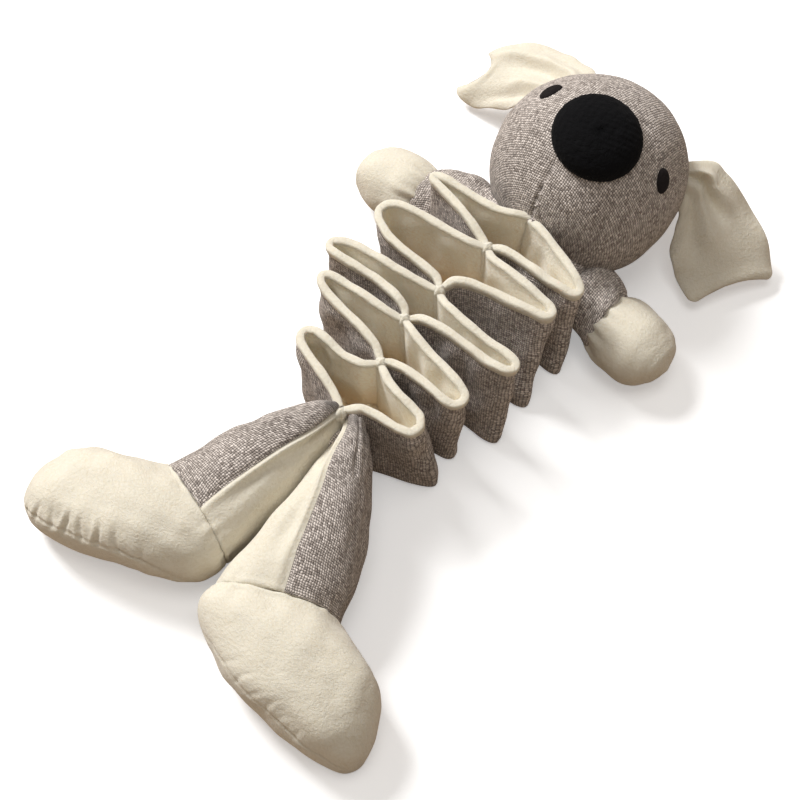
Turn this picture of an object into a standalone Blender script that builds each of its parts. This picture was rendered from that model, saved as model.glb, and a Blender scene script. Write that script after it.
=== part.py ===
"""Plush toy for dogs, lying on its back: a padded head, ears, arms and legs on a body of five treat pockets.

The body folds like a concertina. Two quilted walls zigzag on either side of a row of centre seams,
and each stretch between two seams is a diamond pocket, open at the top, with a loose lining floor.
Row frame: X across, Y from feet to head, Z up, origin under the middle pocket's floor.
"""

import math

import bmesh
import bpy
from mathutils import Matrix, Vector

MM = 0.001
NAME = "plush_pocket_toy"

# fits
GAP = 0.3 * MM
FOLD_PLAY = 0.9 * MM
REST_CUT = 0.5 * MM
OVERRUN = 80 * MM
TABLE_REACH = 500 * MM
SHARP_ANGLE = math.radians(50)

# pockets, from the head to the feet: length along the body and half width to the fold's outside
POCKET_LENGTHS = (30 * MM, 38 * MM, 26 * MM, 27 * MM, 35 * MM)
POCKET_HALF_WIDTHS = (53.5 * MM, 56 * MM, 64 * MM, 53 * MM, 42 * MM)
WALL_THICKNESS = 5.5 * MM
WALL_HEIGHT = 71 * MM
WALL_EDGE = 1.2 * MM
FOLD_CORNER = 8 * MM
CORNER_STEP_SHARE = 0.4
CLOSE_ANGLE = math.radians(6)
OPEN_ANGLE = math.radians(16)
FOLD_MARGIN = math.radians(3)
ARC_STEPS = 3

# centre seams, where the two linings are sewn together: half their thickness, and their ridges
SEAM_RADIUS = 1.5 * MM
SEAM_HEIGHT = 66 * MM
SEAM_SIDES = 16
SEAM_RIDGE_RADIUS = 3.2 * MM
KNUCKLE_SIDES = 32

# lining floors
FLOOR_THICKNESS = 3.5 * MM
FLOOR_EDGE = 0.8 * MM

# head
HEAD_RADIUS = 57 * MM
HEAD_SIDE_SHIFT = 4 * MM
HEAD_SEGMENTS = 36
HEAD_RINGS = 20
CHIN_DEPTH = 1.2 * MM
CHIN_WIDTH = 5 * MM
NECK_RADIUS = 14 * MM
NECK_WEB = 1.0 * MM
NECK_TURN = math.radians(15)
NOD_UP = math.radians(25)
NOD_DOWN = math.radians(8)

# nose and eyes, placed by their bearing on the head
NOSE_HALF_WIDTH = 26 * MM
NOSE_HALF_LENGTH = 23.5 * MM
NOSE_RISE = 11 * MM
NOSE_BEARING = Vector((0.17, -0.24, 0.96))
NOSE_SIDES = 24
NOSE_RINGS = 12
EYE_HALF_WIDTH = 4.5 * MM
EYE_HALF_LENGTH = 7 * MM
EYE_RISE = 1.8 * MM
EYE_SINK = 2.5 * MM
EYE_BEARINGS = {"left": Vector((-0.55, -0.03, 0.83)), "right": Vector((0.83, 0.01, 0.55))}
EYE_SIDES = 16
EYE_RINGS = 8

# ears: root bearing on the head, then the way the flap runs, as shares of its length
EAR_LENGTH = 78 * MM
EAR_HALF_WIDTH = 31 * MM
EAR_THICKNESS = 5.5 * MM
EAR_ROOT_RADIUS = 3.5 * MM
EAR_ROOT_BEARINGS = {"left": Vector((-0.76, 0.64, -0.08)), "right": Vector((0.76, 0.64, -0.08))}
ROLL_SHARE = 0.6
EAR_LIFT = math.radians(50)
EAR_DROP = math.radians(5)
# along the flap: half width share, then run outward, along the body and down as shares of length
EAR_SHARES = {
    "left": (
        (0.38, 0.00, 0.00, 0.00),
        (0.65, 0.23, 0.13, -0.13),
        (0.82, 0.42, 0.14, -0.24),
        (0.82, 0.61, 0.13, -0.36),
        (0.72, 0.79, 0.08, -0.44),
        (0.55, 0.95, 0.00, -0.49),
    ),
    "right": (
        (0.38, 0.00, 0.00, 0.00),
        (0.66, 0.17, 0.01, -0.10),
        (0.90, 0.35, -0.06, -0.26),
        (1.00, 0.49, -0.13, -0.40),
        (0.97, 0.62, -0.21, -0.50),
        (0.80, 0.73, -0.30, -0.56),
    ),
}
EAR_WIDTH_LEANS = {"left": Vector((0.25, -0.93, -0.27)), "right": Vector((-0.40, -0.91, -0.10))}
EAR_TURN_SHARE = 0.5

# chest, between the head and the first pocket
CHEST_HALF_WIDTH = 38 * MM
CHEST_HALF_LENGTH = 25 * MM
CHEST_HALF_HEIGHT = 29 * MM
CHEST_CENTRE_ABOVE_SEAM = 12 * MM
CHEST_LIFT = 1 * MM
CHEST_SEGMENTS = 28
CHEST_RINGS = 16
RIDGE_FOOT = 12 * MM

# arms
SHOULDER_SIDE = 47 * MM
SHOULDER_ABOVE_SEAM = 10.5 * MM
SHOULDER_HEIGHT = 28 * MM
SHOULDER_RADIUS = 14 * MM
ARM_LIFT = math.radians(45)
ARM_DROP = math.radians(5)
SLEEVE_LENGTHS = {"left": 24 * MM, "right": 18 * MM}
SLEEVE_CUFF_RADIUS = 18 * MM
SLEEVE_BEND = 7 * MM
SLEEVE_SHARES = (0.35, 0.7, 1.0)
PAW_LENGTHS = {"left": 46 * MM, "right": 45 * MM}
PAW_HALF_WIDTHS = {"left": 21.5 * MM, "right": 23 * MM}
PAW_HALF_HEIGHT = 21 * MM
PAW_DROP = 6 * MM
ARM_BACK_TILTS = {"left": math.radians(6), "right": math.radians(2)}
# along the paw from cuff to tip: place and size
PAW_SHARES = ((0.0, 0.80), (0.14, 0.92), (0.42, 1.0), (0.70, 0.94), (0.90, 0.66), (0.99, 0.30))
PAW_SETTLE_SHARE = 0.5

# hips and legs
HIP_RADIUS = 32 * MM
HIP_HEIGHT = 34 * MM
HIP_WEB = 1.8 * MM
HIP_HALF_WIDTH = 27 * MM
HIP_TOP = 55 * MM
HIP_BOTTOM = 3 * MM
HIP_EDGE = 5 * MM
HIP_EDGE_STEPS = 3
LEG_LIFT = math.radians(35)
LEG_DROP = math.radians(3)
CROTCH_SHIFT = 3 * MM
LEG_HALF_WIDTH = 20 * MM
ANKLE_HALF_WIDTH = 26 * MM
ANKLE_SIDE_SHIFTS = {"left": 5 * MM, "right": 14 * MM}
LEG_LENGTH = 53 * MM
ANKLE_RADIUS = 22 * MM
ANKLE_HEIGHT = 25 * MM
LEG_SPLIT_SHARE = 0.12
LEG_SHARES = (0.35, 0.7, 1.0)
ROOT_WIDTH_SHARE = 0.3
ANKLE_WIDTH_SHARE = 0.6
LEG_SQUARENESS = 0.72
LEG_SIDES = 20

# feet
FOOT_LENGTHS = {"left": 112 * MM, "right": 119 * MM}
FOOT_HALF_DEPTHS = {"left": 29 * MM, "right": 30 * MM}
FOOT_HALF_HEIGHT = 28 * MM
FOOT_TURNS = {"left": math.radians(15), "right": math.radians(6)}
HEEL_FROM_CROTCH = {"left": 6 * MM, "right": 5 * MM}
HEEL_BELOW_ANKLE = {"left": 9 * MM, "right": 21 * MM}
FOOT_LIFT = math.radians(15)
FOOT_DROP = math.radians(3)
# along the foot from heel to toe: place, half depth, half height
FOOT_SHARES = (
    (0.00, 0.46, 0.46),
    (0.10, 0.84, 0.80),
    (0.34, 1.02, 1.02),
    (0.62, 1.00, 0.94),
    (0.86, 0.78, 0.72),
    (0.99, 0.40, 0.40),
)
FOOT_SQUARENESS = 0.85
SOLE_SHARE = 0.80

# turns from the pole at which a round end has its rings
ROUND_END_TURNS = tuple(math.radians(degrees) for degrees in (13, 35, 60))
CAGE_SIDES = 12
SUBDIVISIONS = 1
SIDES = {"left": -1, "right": 1}
FABRICS = {
    "heather": ((0.205, 0.172, 0.162), 0.95),
    "fleece": ((0.86, 0.79, 0.65), 0.92),
    "lining": ((0.80, 0.72, 0.56), 0.92),
    "black_plush": ((0.006, 0.006, 0.007), 0.85),
    "eye_felt": ((0.012, 0.010, 0.011), 0.5),
}


def clear_scene():
    for old in list(bpy.data.objects):
        bpy.data.objects.remove(old, do_unlink=True)


def make_collection(name):
    collection = bpy.data.collections.new(name)
    bpy.context.scene.collection.children.link(collection)
    return collection


class Model:
    """The two collections and the bodies' pivots."""

    def __init__(self):
        self.parts = make_collection(NAME)
        self.cutters = make_collection(NAME + "_cutters")
        self.pivots = {}

    def body(self, name, pivot, parent=None):
        """An empty on the body's joint axis, under its parent body's empty."""
        empty = bpy.data.objects.new("body_" + name, None)
        self.parts.objects.link(empty)
        pivot = Vector(pivot)
        if parent:
            empty.parent = bpy.data.objects["body_" + parent]
            empty.location = pivot - self.pivots[parent]
        else:
            empty.location = pivot
        self.pivots[name] = pivot

    def part(self, name, bm, body, fabric, smooth=True):
        """A piece modelled in row coordinates, with its origin on its body's axis."""
        bmesh.ops.translate(bm, vec=-self.pivots[body], verts=bm.verts)
        obj = mesh_object(name, bm, smooth)
        obj.parent = bpy.data.objects["body_" + body]
        obj.data.materials.append(fabric_material(name, fabric))
        self.parts.objects.link(obj)
        return obj

    def cutter(self, name, bm):
        obj = mesh_object(name, bm, False)
        obj.hide_render = True
        obj.display_type = "WIRE"
        self.cutters.objects.link(obj)
        return obj


def mesh_object(name, bm, smooth):
    bmesh.ops.recalc_face_normals(bm, faces=bm.faces)
    mesh = bpy.data.meshes.new(name)
    bm.to_mesh(mesh)
    bm.free()
    obj = bpy.data.objects.new(name, mesh)
    if smooth:
        mesh.shade_smooth()
        mesh.set_sharp_from_angle(angle=SHARP_ANGLE)
    return obj


def fabric_material(name, fabric):
    colour, roughness = FABRICS[fabric]
    material = bpy.data.materials.new(name)
    material.use_nodes = True
    shader = material.node_tree.nodes["Principled BSDF"]
    shader.inputs["Base Color"].default_value = (*colour, 1)
    shader.inputs["Roughness"].default_value = roughness
    shader.inputs["Metallic"].default_value = 0
    return material


def boolean(obj, cutter, operation="DIFFERENCE"):
    modifier = obj.modifiers.new(operation.title() + "_" + cutter.name, "BOOLEAN")
    modifier.operation = operation
    modifier.object = cutter
    modifier.solver = "EXACT"


def subdivide(obj):
    modifier = obj.modifiers.new("Subdivision", "SUBSURF")
    modifier.levels = SUBDIVISIONS
    modifier.render_levels = SUBDIVISIONS


def loft(rings):
    """A closed skin through rings of equally many points, capped at both ends."""
    bm = bmesh.new()
    made = [[bm.verts.new(point) for point in ring] for ring in rings]
    for low, high in zip(made, made[1:]):
        count = len(low)
        for k in range(count):
            after = (k + 1) % count
            bm.faces.new((low[k], low[after], high[after], high[k]))
    bm.faces.new(reversed(made[0]))
    bm.faces.new(made[-1])
    return bm


def prism(outline, low, high):
    """An upright prism on a plan outline."""
    return loft([[Vector((x, y, z)) for x, y in outline] for z in (low, high)])


def box(low, high):
    bm = bmesh.new()
    bmesh.ops.create_cube(bm, size=1)
    size = Vector(high) - Vector(low)
    bmesh.ops.scale(bm, vec=size, verts=bm.verts)
    bmesh.ops.translate(bm, vec=(Vector(high) + Vector(low)) / 2, verts=bm.verts)
    return bm


def ball(centre, radii, segments, rings):
    bm = bmesh.new()
    bmesh.ops.create_uvsphere(bm, u_segments=segments, v_segments=rings, radius=1)
    bmesh.ops.scale(bm, vec=radii, verts=bm.verts)
    bmesh.ops.translate(bm, vec=centre, verts=bm.verts)
    return bm


def rod(start, end, radius, sides):
    """A round bar between two points."""
    start, end = Vector(start), Vector(end)
    bm = bmesh.new()
    bmesh.ops.create_cone(
        bm, cap_ends=True, segments=sides, radius1=radius, radius2=radius, depth=(end - start).length
    )
    turn = (end - start).to_track_quat("Z", "Y").to_matrix().to_4x4()
    bmesh.ops.transform(bm, matrix=Matrix.Translation((start + end) / 2) @ turn, verts=bm.verts)
    return bm


def cage_growth(sides):
    """How much wider a cage of so many sides is than the smooth skin inside it."""
    return 6 / (4 + 2 * math.cos(2 * math.pi / sides))


def oval_ring(centre, across, up, half_width, half_height, sides, squareness=1.0):
    """Points round an oval; a squareness under 1 fills its corners out."""
    ring = []
    for k in range(sides):
        angle = 2 * math.pi * (k + 0.5) / sides
        c, s = math.cos(angle), math.sin(angle)
        x = math.copysign(abs(c) ** squareness, c) * half_width
        y = math.copysign(abs(s) ** squareness, s) * half_height
        ring.append(centre + across * x + up * y)
    return ring


class Pocket:
    """The plan geometry of one diamond pocket, worked out from its length and half width."""

    def __init__(self, number, head_seam, length, half_width):
        self.number = number
        self.head_seam = head_seam
        self.foot_seam = head_seam - length
        self.middle = head_seam - length / 2
        self.crease = WALL_THICKNESS + GAP + SEAM_RADIUS
        reach = half_width - WALL_THICKNESS - self.crease
        self.tip = self.crease + reach
        self.link = math.hypot(reach, length / 2)
        self.angle = math.asin(length / 2 / self.link)
        self.lean = math.asin(WALL_THICKNESS / self.link)
        self.slope = self.angle - self.lean
        spread = math.sin(self.angle + OPEN_ANGLE) - math.sin(self.angle - CLOSE_ANGLE)
        self.travel_per_radian = 2 * self.link * spread / (OPEN_ANGLE + CLOSE_ANGLE)
        self.arc = math.pi / 2 - self.slope - OPEN_ANGLE - FOLD_MARGIN

    def panel_outline(self, inset, shortened):
        """Plan outline of the left head-side panel, with its centre seam's crease at the origin."""
        along = Vector((-math.cos(self.slope), -math.sin(self.slope)))
        outward = Vector((-math.sin(self.slope), math.cos(self.slope)))
        end = self.link * math.cos(self.lean) - shortened
        thick = WALL_THICKNESS
        near, far = FOLD_PLAY / 2 + inset, thick - GAP / 2 - inset
        turns = [self.arc * k / ARC_STEPS for k in range(ARC_STEPS + 1)]
        flat = [(inset, -near), (end - inset, -near)]
        flat += [(end - inset + far * math.sin(a), -thick + far * math.cos(a)) for a in turns[1:]]
        flat += [(end - inset + near * math.sin(self.arc), -thick + near * math.cos(self.arc))]
        flat += [(end - inset, -far), (inset, -far)]
        flat += [(inset - far * math.sin(a), -far * math.cos(a)) for a in turns[1:]]
        flat += [(inset - near * math.sin(self.arc), -near * math.cos(self.arc))]
        return [along * u + outward * v for u, v in flat]

    def floor_outline(self, inset):
        """Plan outline of the lining floor, clear of the walls round it."""
        clear = (GAP + inset) / math.cos(self.slope)
        rise = math.tan(self.slope)
        side = self.crease - inset
        half = (self.tip - side) * rise - clear
        tip = self.tip - clear / rise
        return [
            (-tip, self.middle),
            (-side, self.middle + half),
            (side, self.middle + half),
            (tip, self.middle),
            (side, self.middle - half),
            (-side, self.middle - half),
        ]


def make_pockets():
    head_seam = POCKET_LENGTHS[2] / 2 + POCKET_LENGTHS[1] + POCKET_LENGTHS[0]
    pockets = []
    for number, (length, half_width) in enumerate(zip(POCKET_LENGTHS, POCKET_HALF_WIDTHS), 1):
        pockets.append(Pocket(number, head_seam, length, half_width))
        head_seam -= length
    return pockets


POCKETS = make_pockets()
HEAD_SEAM = POCKETS[0].head_seam
FOOT_SEAM = POCKETS[-1].foot_seam
NECK_BACK = HEAD_SEAM + SEAM_RADIUS + GAP
HEAD_CENTRE = Vector((HEAD_SIDE_SHIFT, NECK_BACK + NECK_WEB + GAP + HEAD_RADIUS, HEAD_RADIUS - REST_CUT))
HIP_PIVOT_Y = FOOT_SEAM - HIP_WEB - GAP - HIP_RADIUS
ANKLE_Y = HIP_PIVOT_Y - LEG_LENGTH


def corner_cut(height):
    """How far the fold's lower corner is rounded in at a height."""
    if height >= FOLD_CORNER:
        return 0
    return FOLD_CORNER - math.sqrt(FOLD_CORNER**2 - (FOLD_CORNER - height) ** 2)


def wall_panel(pocket, side, foot_side):
    """One quilted panel of a wall, as rings from the table up."""
    heights = [0, WALL_EDGE, FOLD_CORNER * CORNER_STEP_SHARE, FOLD_CORNER]
    heights += [WALL_HEIGHT - WALL_EDGE, WALL_HEIGHT]
    insets = [WALL_EDGE, 0, 0, 0, 0, WALL_EDGE]
    rings = []
    for height, inset in zip(heights, insets):
        ring = []
        for point in pocket.panel_outline(inset, corner_cut(max(height, WALL_EDGE))):
            x = (point.x - pocket.crease) * -side
            y = pocket.head_seam + point.y
            if foot_side:
                y = 2 * pocket.middle - y
            ring.append(Vector((x, y, height)))
        rings.append(ring)
    return loft(rings)


def add_bellows(model):
    """Seam bodies on slides, and on each side of a pocket two panels hinged in a chain."""
    for pocket in POCKETS:
        seam_body = "chest" if pocket.number == 1 else f"seam_{pocket.number - 1}"
        next_body = "hips" if pocket.number == len(POCKETS) else f"seam_{pocket.number}"
        model.body(next_body, (0, pocket.foot_seam, 0), seam_body)
        for side_name, side in SIDES.items():
            first = f"{side_name}_fold_{pocket.number}a"
            second = f"{side_name}_fold_{pocket.number}b"
            model.body(first, (side * pocket.crease, pocket.head_seam, 0), seam_body)
            model.body(second, (side * pocket.tip, pocket.middle, 0), first)
            model.part(f"wall_{first}", wall_panel(pocket, side, False), first, "heather", False)
            model.part(f"wall_{second}", wall_panel(pocket, side, True), second, "heather", False)
        rings = []
        for inset, height in ((0, 0), (0, FLOOR_THICKNESS - FLOOR_EDGE), (FLOOR_EDGE, FLOOR_THICKNESS)):
            rings.append([Vector((x, y, height)) for x, y in pocket.floor_outline(inset)])
        model.part(f"pocket_floor_{pocket.number}", loft(rings), next_body, "lining", False)
        if pocket.number < len(POCKETS):
            ridge = seam_ridge(pocket.foot_seam, 0, SEAM_HEIGHT)
            seam = model.part(f"centre_seam_{pocket.number}", ridge, next_body, "lining")
            for side_name, side in SIDES.items():
                name = f"seam_{pocket.number}_{side_name}"
                boolean(seam, fold_knuckle(model, name, side, pocket.foot_seam))


def seam_ridge(seam_y, low, high):
    """The rounded ridge of lining at a centre seam, before the folds press in on it."""
    return rod((0, seam_y, low), (0, seam_y, high), SEAM_RIDGE_RADIUS, SEAM_SIDES)


def fold_knuckle(model, name, side, seam_y):
    """The round space in which the folds beside a centre seam turn."""
    x = side * POCKETS[0].crease
    knuckle = rod((x, seam_y, -OVERRUN), (x, seam_y, 2 * OVERRUN), WALL_THICKNESS + GAP, KNUCKLE_SIDES)
    return model.cutter("fold_knuckle_" + name, knuckle)


def fold_sweep(pocket, seam_y, away):
    """The space that a pocket's end panels need, down to where they stop folding shut."""
    slope = pocket.slope - CLOSE_ANGLE
    run = pocket.link + WALL_THICKNESS
    start = Vector((pocket.crease, seam_y + GAP * away))
    end = start + Vector((run, -run * math.tan(slope) * away))
    back = seam_y - away * OVERRUN
    outline = [(-end.x, end.y), (-start.x, start.y), (start.x, start.y), (end.x, end.y)]
    outline += [(end.x, back), (-end.x, back)]
    return prism(outline, -OVERRUN, WALL_HEIGHT + OVERRUN)


def tangent_frame(bearing):
    """Outward, across and upward directions at a bearing on the head."""
    out = bearing.normalized()
    across = Vector((0, 1, 0)).cross(out).normalized()
    return out, across, out.cross(across)


def head_patch(bearing, half_width, half_length, rise, sink, sides, rings):
    """A domed oval that sits on the head, as a ball squashed along its bearing."""
    out, across, up = tangent_frame(bearing)
    bm = ball((0, 0, 0), (half_width, half_length, rise + sink), sides, rings)
    turn = Matrix((across, up, out)).transposed().to_4x4()
    place = Matrix.Translation(HEAD_CENTRE + out * (HEAD_RADIUS - sink)) @ turn
    bmesh.ops.transform(bm, matrix=place, verts=bm.verts)
    return bm


def add_head(model, rest_cutter):
    """The padded head on a neck seam, with its nose and eyes; returns the seat it needs in other pieces."""
    model.body("neck", HEAD_CENTRE, "chest")
    model.body("head", HEAD_CENTRE, "neck")
    head_bm = ball(HEAD_CENTRE, (HEAD_RADIUS,) * 3, HEAD_SEGMENTS, HEAD_RINGS)
    for vert in head_bm.verts:
        away = vert.co - HEAD_CENTRE
        if away.y < 0 and away.z > 0:
            dent = CHIN_DEPTH * math.exp(-((away.x / CHIN_WIDTH) ** 2)) * away.z / HEAD_RADIUS
            vert.co = HEAD_CENTRE + away * (1 - dent / HEAD_RADIUS)
    head = model.part("head", head_bm, "head", "heather")
    boolean(head, rest_cutter)
    seat = model.cutter("head_seat", ball(HEAD_CENTRE, (HEAD_RADIUS + GAP,) * 3, HEAD_SEGMENTS, HEAD_RINGS))
    neck_start = Vector((HEAD_CENTRE.x, NECK_BACK, HEAD_CENTRE.z))
    neck_bm = rod(neck_start, HEAD_CENTRE, NECK_RADIUS, HEAD_SEGMENTS)
    neck = model.part("neck_seam", neck_bm, "neck", "heather")
    boolean(neck, seat)
    nose_sink = HEAD_RADIUS - math.sqrt(HEAD_RADIUS**2 - NOSE_HALF_WIDTH**2)
    nose_size = (NOSE_HALF_WIDTH, NOSE_HALF_LENGTH, NOSE_RISE, nose_sink, NOSE_SIDES, NOSE_RINGS)
    nose = model.part("nose", head_patch(NOSE_BEARING, *nose_size), "head", "black_plush")
    boolean(nose, seat)
    for side_name, bearing in EYE_BEARINGS.items():
        eye_size = (EYE_HALF_WIDTH, EYE_HALF_LENGTH, EYE_RISE, EYE_SINK, EYE_SIDES, EYE_RINGS)
        eye = model.part(f"eye_{side_name}", head_patch(bearing, *eye_size), "head", "eye_felt")
        boolean(eye, seat)
    return seat


def ear_root(side_name):
    out = EAR_ROOT_BEARINGS[side_name].normalized()
    return HEAD_CENTRE + out * (HEAD_RADIUS + GAP + EAR_ROOT_RADIUS)


def ear_hinge_axis(side_name):
    """Level and square to the ear root's bearing, so that the flap lifts by a positive turn."""
    out = EAR_ROOT_BEARINGS[side_name]
    return Vector((out.y, -out.x, 0)).normalized()


def add_ear(model, side_name, rest_cutter, head_seat):
    side = SIDES[side_name]
    root = ear_root(side_name)
    body = f"ear_{side_name}"
    model.body(body, root, "head")
    root_across = ear_hinge_axis(side_name) * side
    far_across = EAR_WIDTH_LEANS[side_name].normalized()
    shares = EAR_SHARES[side_name]
    growth = cage_growth(CAGE_SIDES)
    centres = []
    for width_share, out_share, body_share, down_share in shares:
        run = Vector((out_share * side, body_share, down_share))
        centres.append(root + run * EAR_LENGTH)
    inward = -EAR_ROOT_BEARINGS[side_name].normalized()
    roll = root + inward * EAR_ROOT_RADIUS * growth
    half_root = EAR_HALF_WIDTH * shares[0][0] * growth
    inner_up = inward.cross(root_across).normalized()
    rings = [oval_ring(roll, root_across, -inner_up, half_root, EAR_ROOT_RADIUS * ROLL_SHARE, CAGE_SIDES)]
    for k, centre in enumerate(centres):
        ahead = centres[min(k + 1, len(centres) - 1)] - centres[max(k - 1, 0)]
        blend = min(1, k / (len(centres) - 1) / EAR_TURN_SHARE)
        across = root_across.lerp(far_across, blend).normalized()
        up = ahead.cross(across).normalized()
        width = EAR_HALF_WIDTH * shares[k][0] * growth
        height = (EAR_THICKNESS if k else 2 * EAR_ROOT_RADIUS) / 2 * growth
        rings.append(oval_ring(centre, across, up, width, height, CAGE_SIDES))
    ear = model.part(body, loft(rings), body, "fleece")
    subdivide(ear)
    boolean(ear, head_seat)
    boolean(ear, rest_cutter)


def arm_direction(side_name):
    tilt = ARM_BACK_TILTS[side_name]
    return Vector((SIDES[side_name] * math.cos(tilt), -math.sin(tilt), 0))


def shoulder_pivot(side_name):
    return Vector((SIDES[side_name] * SHOULDER_SIDE, HEAD_SEAM + SHOULDER_ABOVE_SEAM, SHOULDER_HEIGHT))


def sleeve_rings(side_name):
    """Rings from the round shoulder end out to the cuff, which grows wider."""
    pivot = shoulder_pivot(side_name)
    along = arm_direction(side_name)
    across = Vector((-along.y, along.x, 0))
    up = Vector((0, 0, 1))
    rings = []
    for turn in (*ROUND_END_TURNS, math.pi / 2):
        radius = SHOULDER_RADIUS * math.sin(turn)
        centre = pivot - along * SHOULDER_RADIUS * math.cos(turn)
        rings.append(oval_ring(centre, across, up, radius, radius, LEG_SIDES))
    for share in SLEEVE_SHARES:
        radius = SHOULDER_RADIUS + (SLEEVE_CUFF_RADIUS - SHOULDER_RADIUS) * share
        drop = Vector((0, -SLEEVE_BEND * share**2, -PAW_DROP * share))
        centre = pivot + along * SLEEVE_LENGTHS[side_name] * share + drop
        rings.append(oval_ring(centre, across, up, radius, radius, LEG_SIDES))
    return rings


def add_arm(model, side_name, rest_cutter, sweep_cutter):
    """A sleeve with a padded paw sewn on its cuff."""
    body = f"arm_{side_name}"
    model.body(body, shoulder_pivot(side_name), "chest")
    sleeve = model.part(f"sleeve_{side_name}", loft(sleeve_rings(side_name)), body, "heather")
    boolean(sleeve, sweep_cutter)
    boolean(sleeve, rest_cutter)
    along = arm_direction(side_name)
    across = Vector((-along.y, along.x, 0))
    up = Vector((0, 0, 1))
    cuff = shoulder_pivot(side_name) + along * (SLEEVE_LENGTHS[side_name] + GAP)
    cuff -= Vector((0, SLEEVE_BEND, PAW_DROP))
    growth = cage_growth(CAGE_SIDES)
    length = PAW_LENGTHS[side_name]
    rings = []
    for place, size in PAW_SHARES:
        centre = cuff + along * length * place
        centre.z += (PAW_HALF_HEIGHT - REST_CUT - cuff.z) * min(1, place / PAW_SETTLE_SHARE)
        width = PAW_HALF_WIDTHS[side_name] * size * growth
        rings.append(oval_ring(centre, across, up, width, PAW_HALF_HEIGHT * size * growth, CAGE_SIDES))
    paw = model.part(f"paw_{side_name}", loft(rings), body, "fleece")
    subdivide(paw)
    cuff_plane = [cuff - across * OVERRUN, cuff + across * OVERRUN]
    outline = [(p.x, p.y) for p in cuff_plane]
    outline += [(p.x, p.y) for p in (q - along * OVERRUN for q in reversed(cuff_plane))]
    boolean(paw, model.cutter(f"cuff_cut_{side_name}", prism(outline, -OVERRUN, OVERRUN)))
    boolean(paw, rest_cutter)


def add_chest(model, sweep_cutter):
    """The small padded chest, hollowed by the head, the folds, the neck and both shoulders."""
    centre = (0, HEAD_SEAM + CHEST_CENTRE_ABOVE_SEAM, CHEST_HALF_HEIGHT + CHEST_LIFT)
    radii = (CHEST_HALF_WIDTH, CHEST_HALF_LENGTH, CHEST_HALF_HEIGHT)
    chest = model.part("chest", ball(centre, radii, CHEST_SEGMENTS, CHEST_RINGS), "chest", "heather")
    head_room = ball(HEAD_CENTRE, (HEAD_RADIUS + 2 * GAP,) * 3, HEAD_SEGMENTS, HEAD_RINGS)
    boolean(chest, model.cutter("head_room", head_room))
    boolean(chest, sweep_cutter)
    bore_start = Vector((HEAD_CENTRE.x, HEAD_SEAM - OVERRUN, HEAD_CENTRE.z))
    bore = model.cutter("neck_bore", rod(bore_start, HEAD_CENTRE, NECK_RADIUS + GAP, HEAD_SEGMENTS))
    boolean(chest, bore)
    for side_name in SIDES:
        seat = ball(shoulder_pivot(side_name), (SHOULDER_RADIUS + GAP,) * 3, HEAD_SEGMENTS, HEAD_RINGS)
        boolean(chest, model.cutter(f"shoulder_seat_{side_name}", seat))
    ridge_top = HEAD_CENTRE.z - NECK_RADIUS - 2 * GAP
    boolean(chest, model.cutter("front_ridge", seam_ridge(HEAD_SEAM, RIDGE_FOOT, ridge_top)), "UNION")
    for side_name, side in SIDES.items():
        boolean(chest, fold_knuckle(model, f"front_{side_name}", side, HEAD_SEAM))


def add_hips(model, foot_sweep):
    """The saddle that joins the legs to the last pocket, with a round seat for their roots."""
    low = (-HIP_HALF_WIDTH, HIP_PIVOT_Y + HIP_RADIUS * math.sin(LEG_LIFT), HIP_BOTTOM)
    high = (HIP_HALF_WIDTH, FOOT_SEAM + OVERRUN, HIP_TOP)
    hips = model.part("hips", box(low, high), "hips", "heather", False)
    bevel = hips.modifiers.new("Round edges", "BEVEL")
    bevel.width = HIP_EDGE
    bevel.segments = HIP_EDGE_STEPS
    boolean(hips, foot_sweep)
    axis_start = Vector((-OVERRUN, HIP_PIVOT_Y, HIP_HEIGHT))
    axis_end = Vector((OVERRUN, HIP_PIVOT_Y, HIP_HEIGHT))
    seat = model.cutter("leg_seat", rod(axis_start, axis_end, HIP_RADIUS + GAP, 2 * LEG_SIDES))
    boolean(hips, seat)
    ridge = seam_ridge(FOOT_SEAM, HIP_BOTTOM + HIP_EDGE, HIP_TOP - HIP_EDGE)
    boolean(hips, model.cutter("rear_ridge", ridge), "UNION")
    for side_name, side in SIDES.items():
        boolean(hips, fold_knuckle(model, f"rear_{side_name}", side, FOOT_SEAM))


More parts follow.
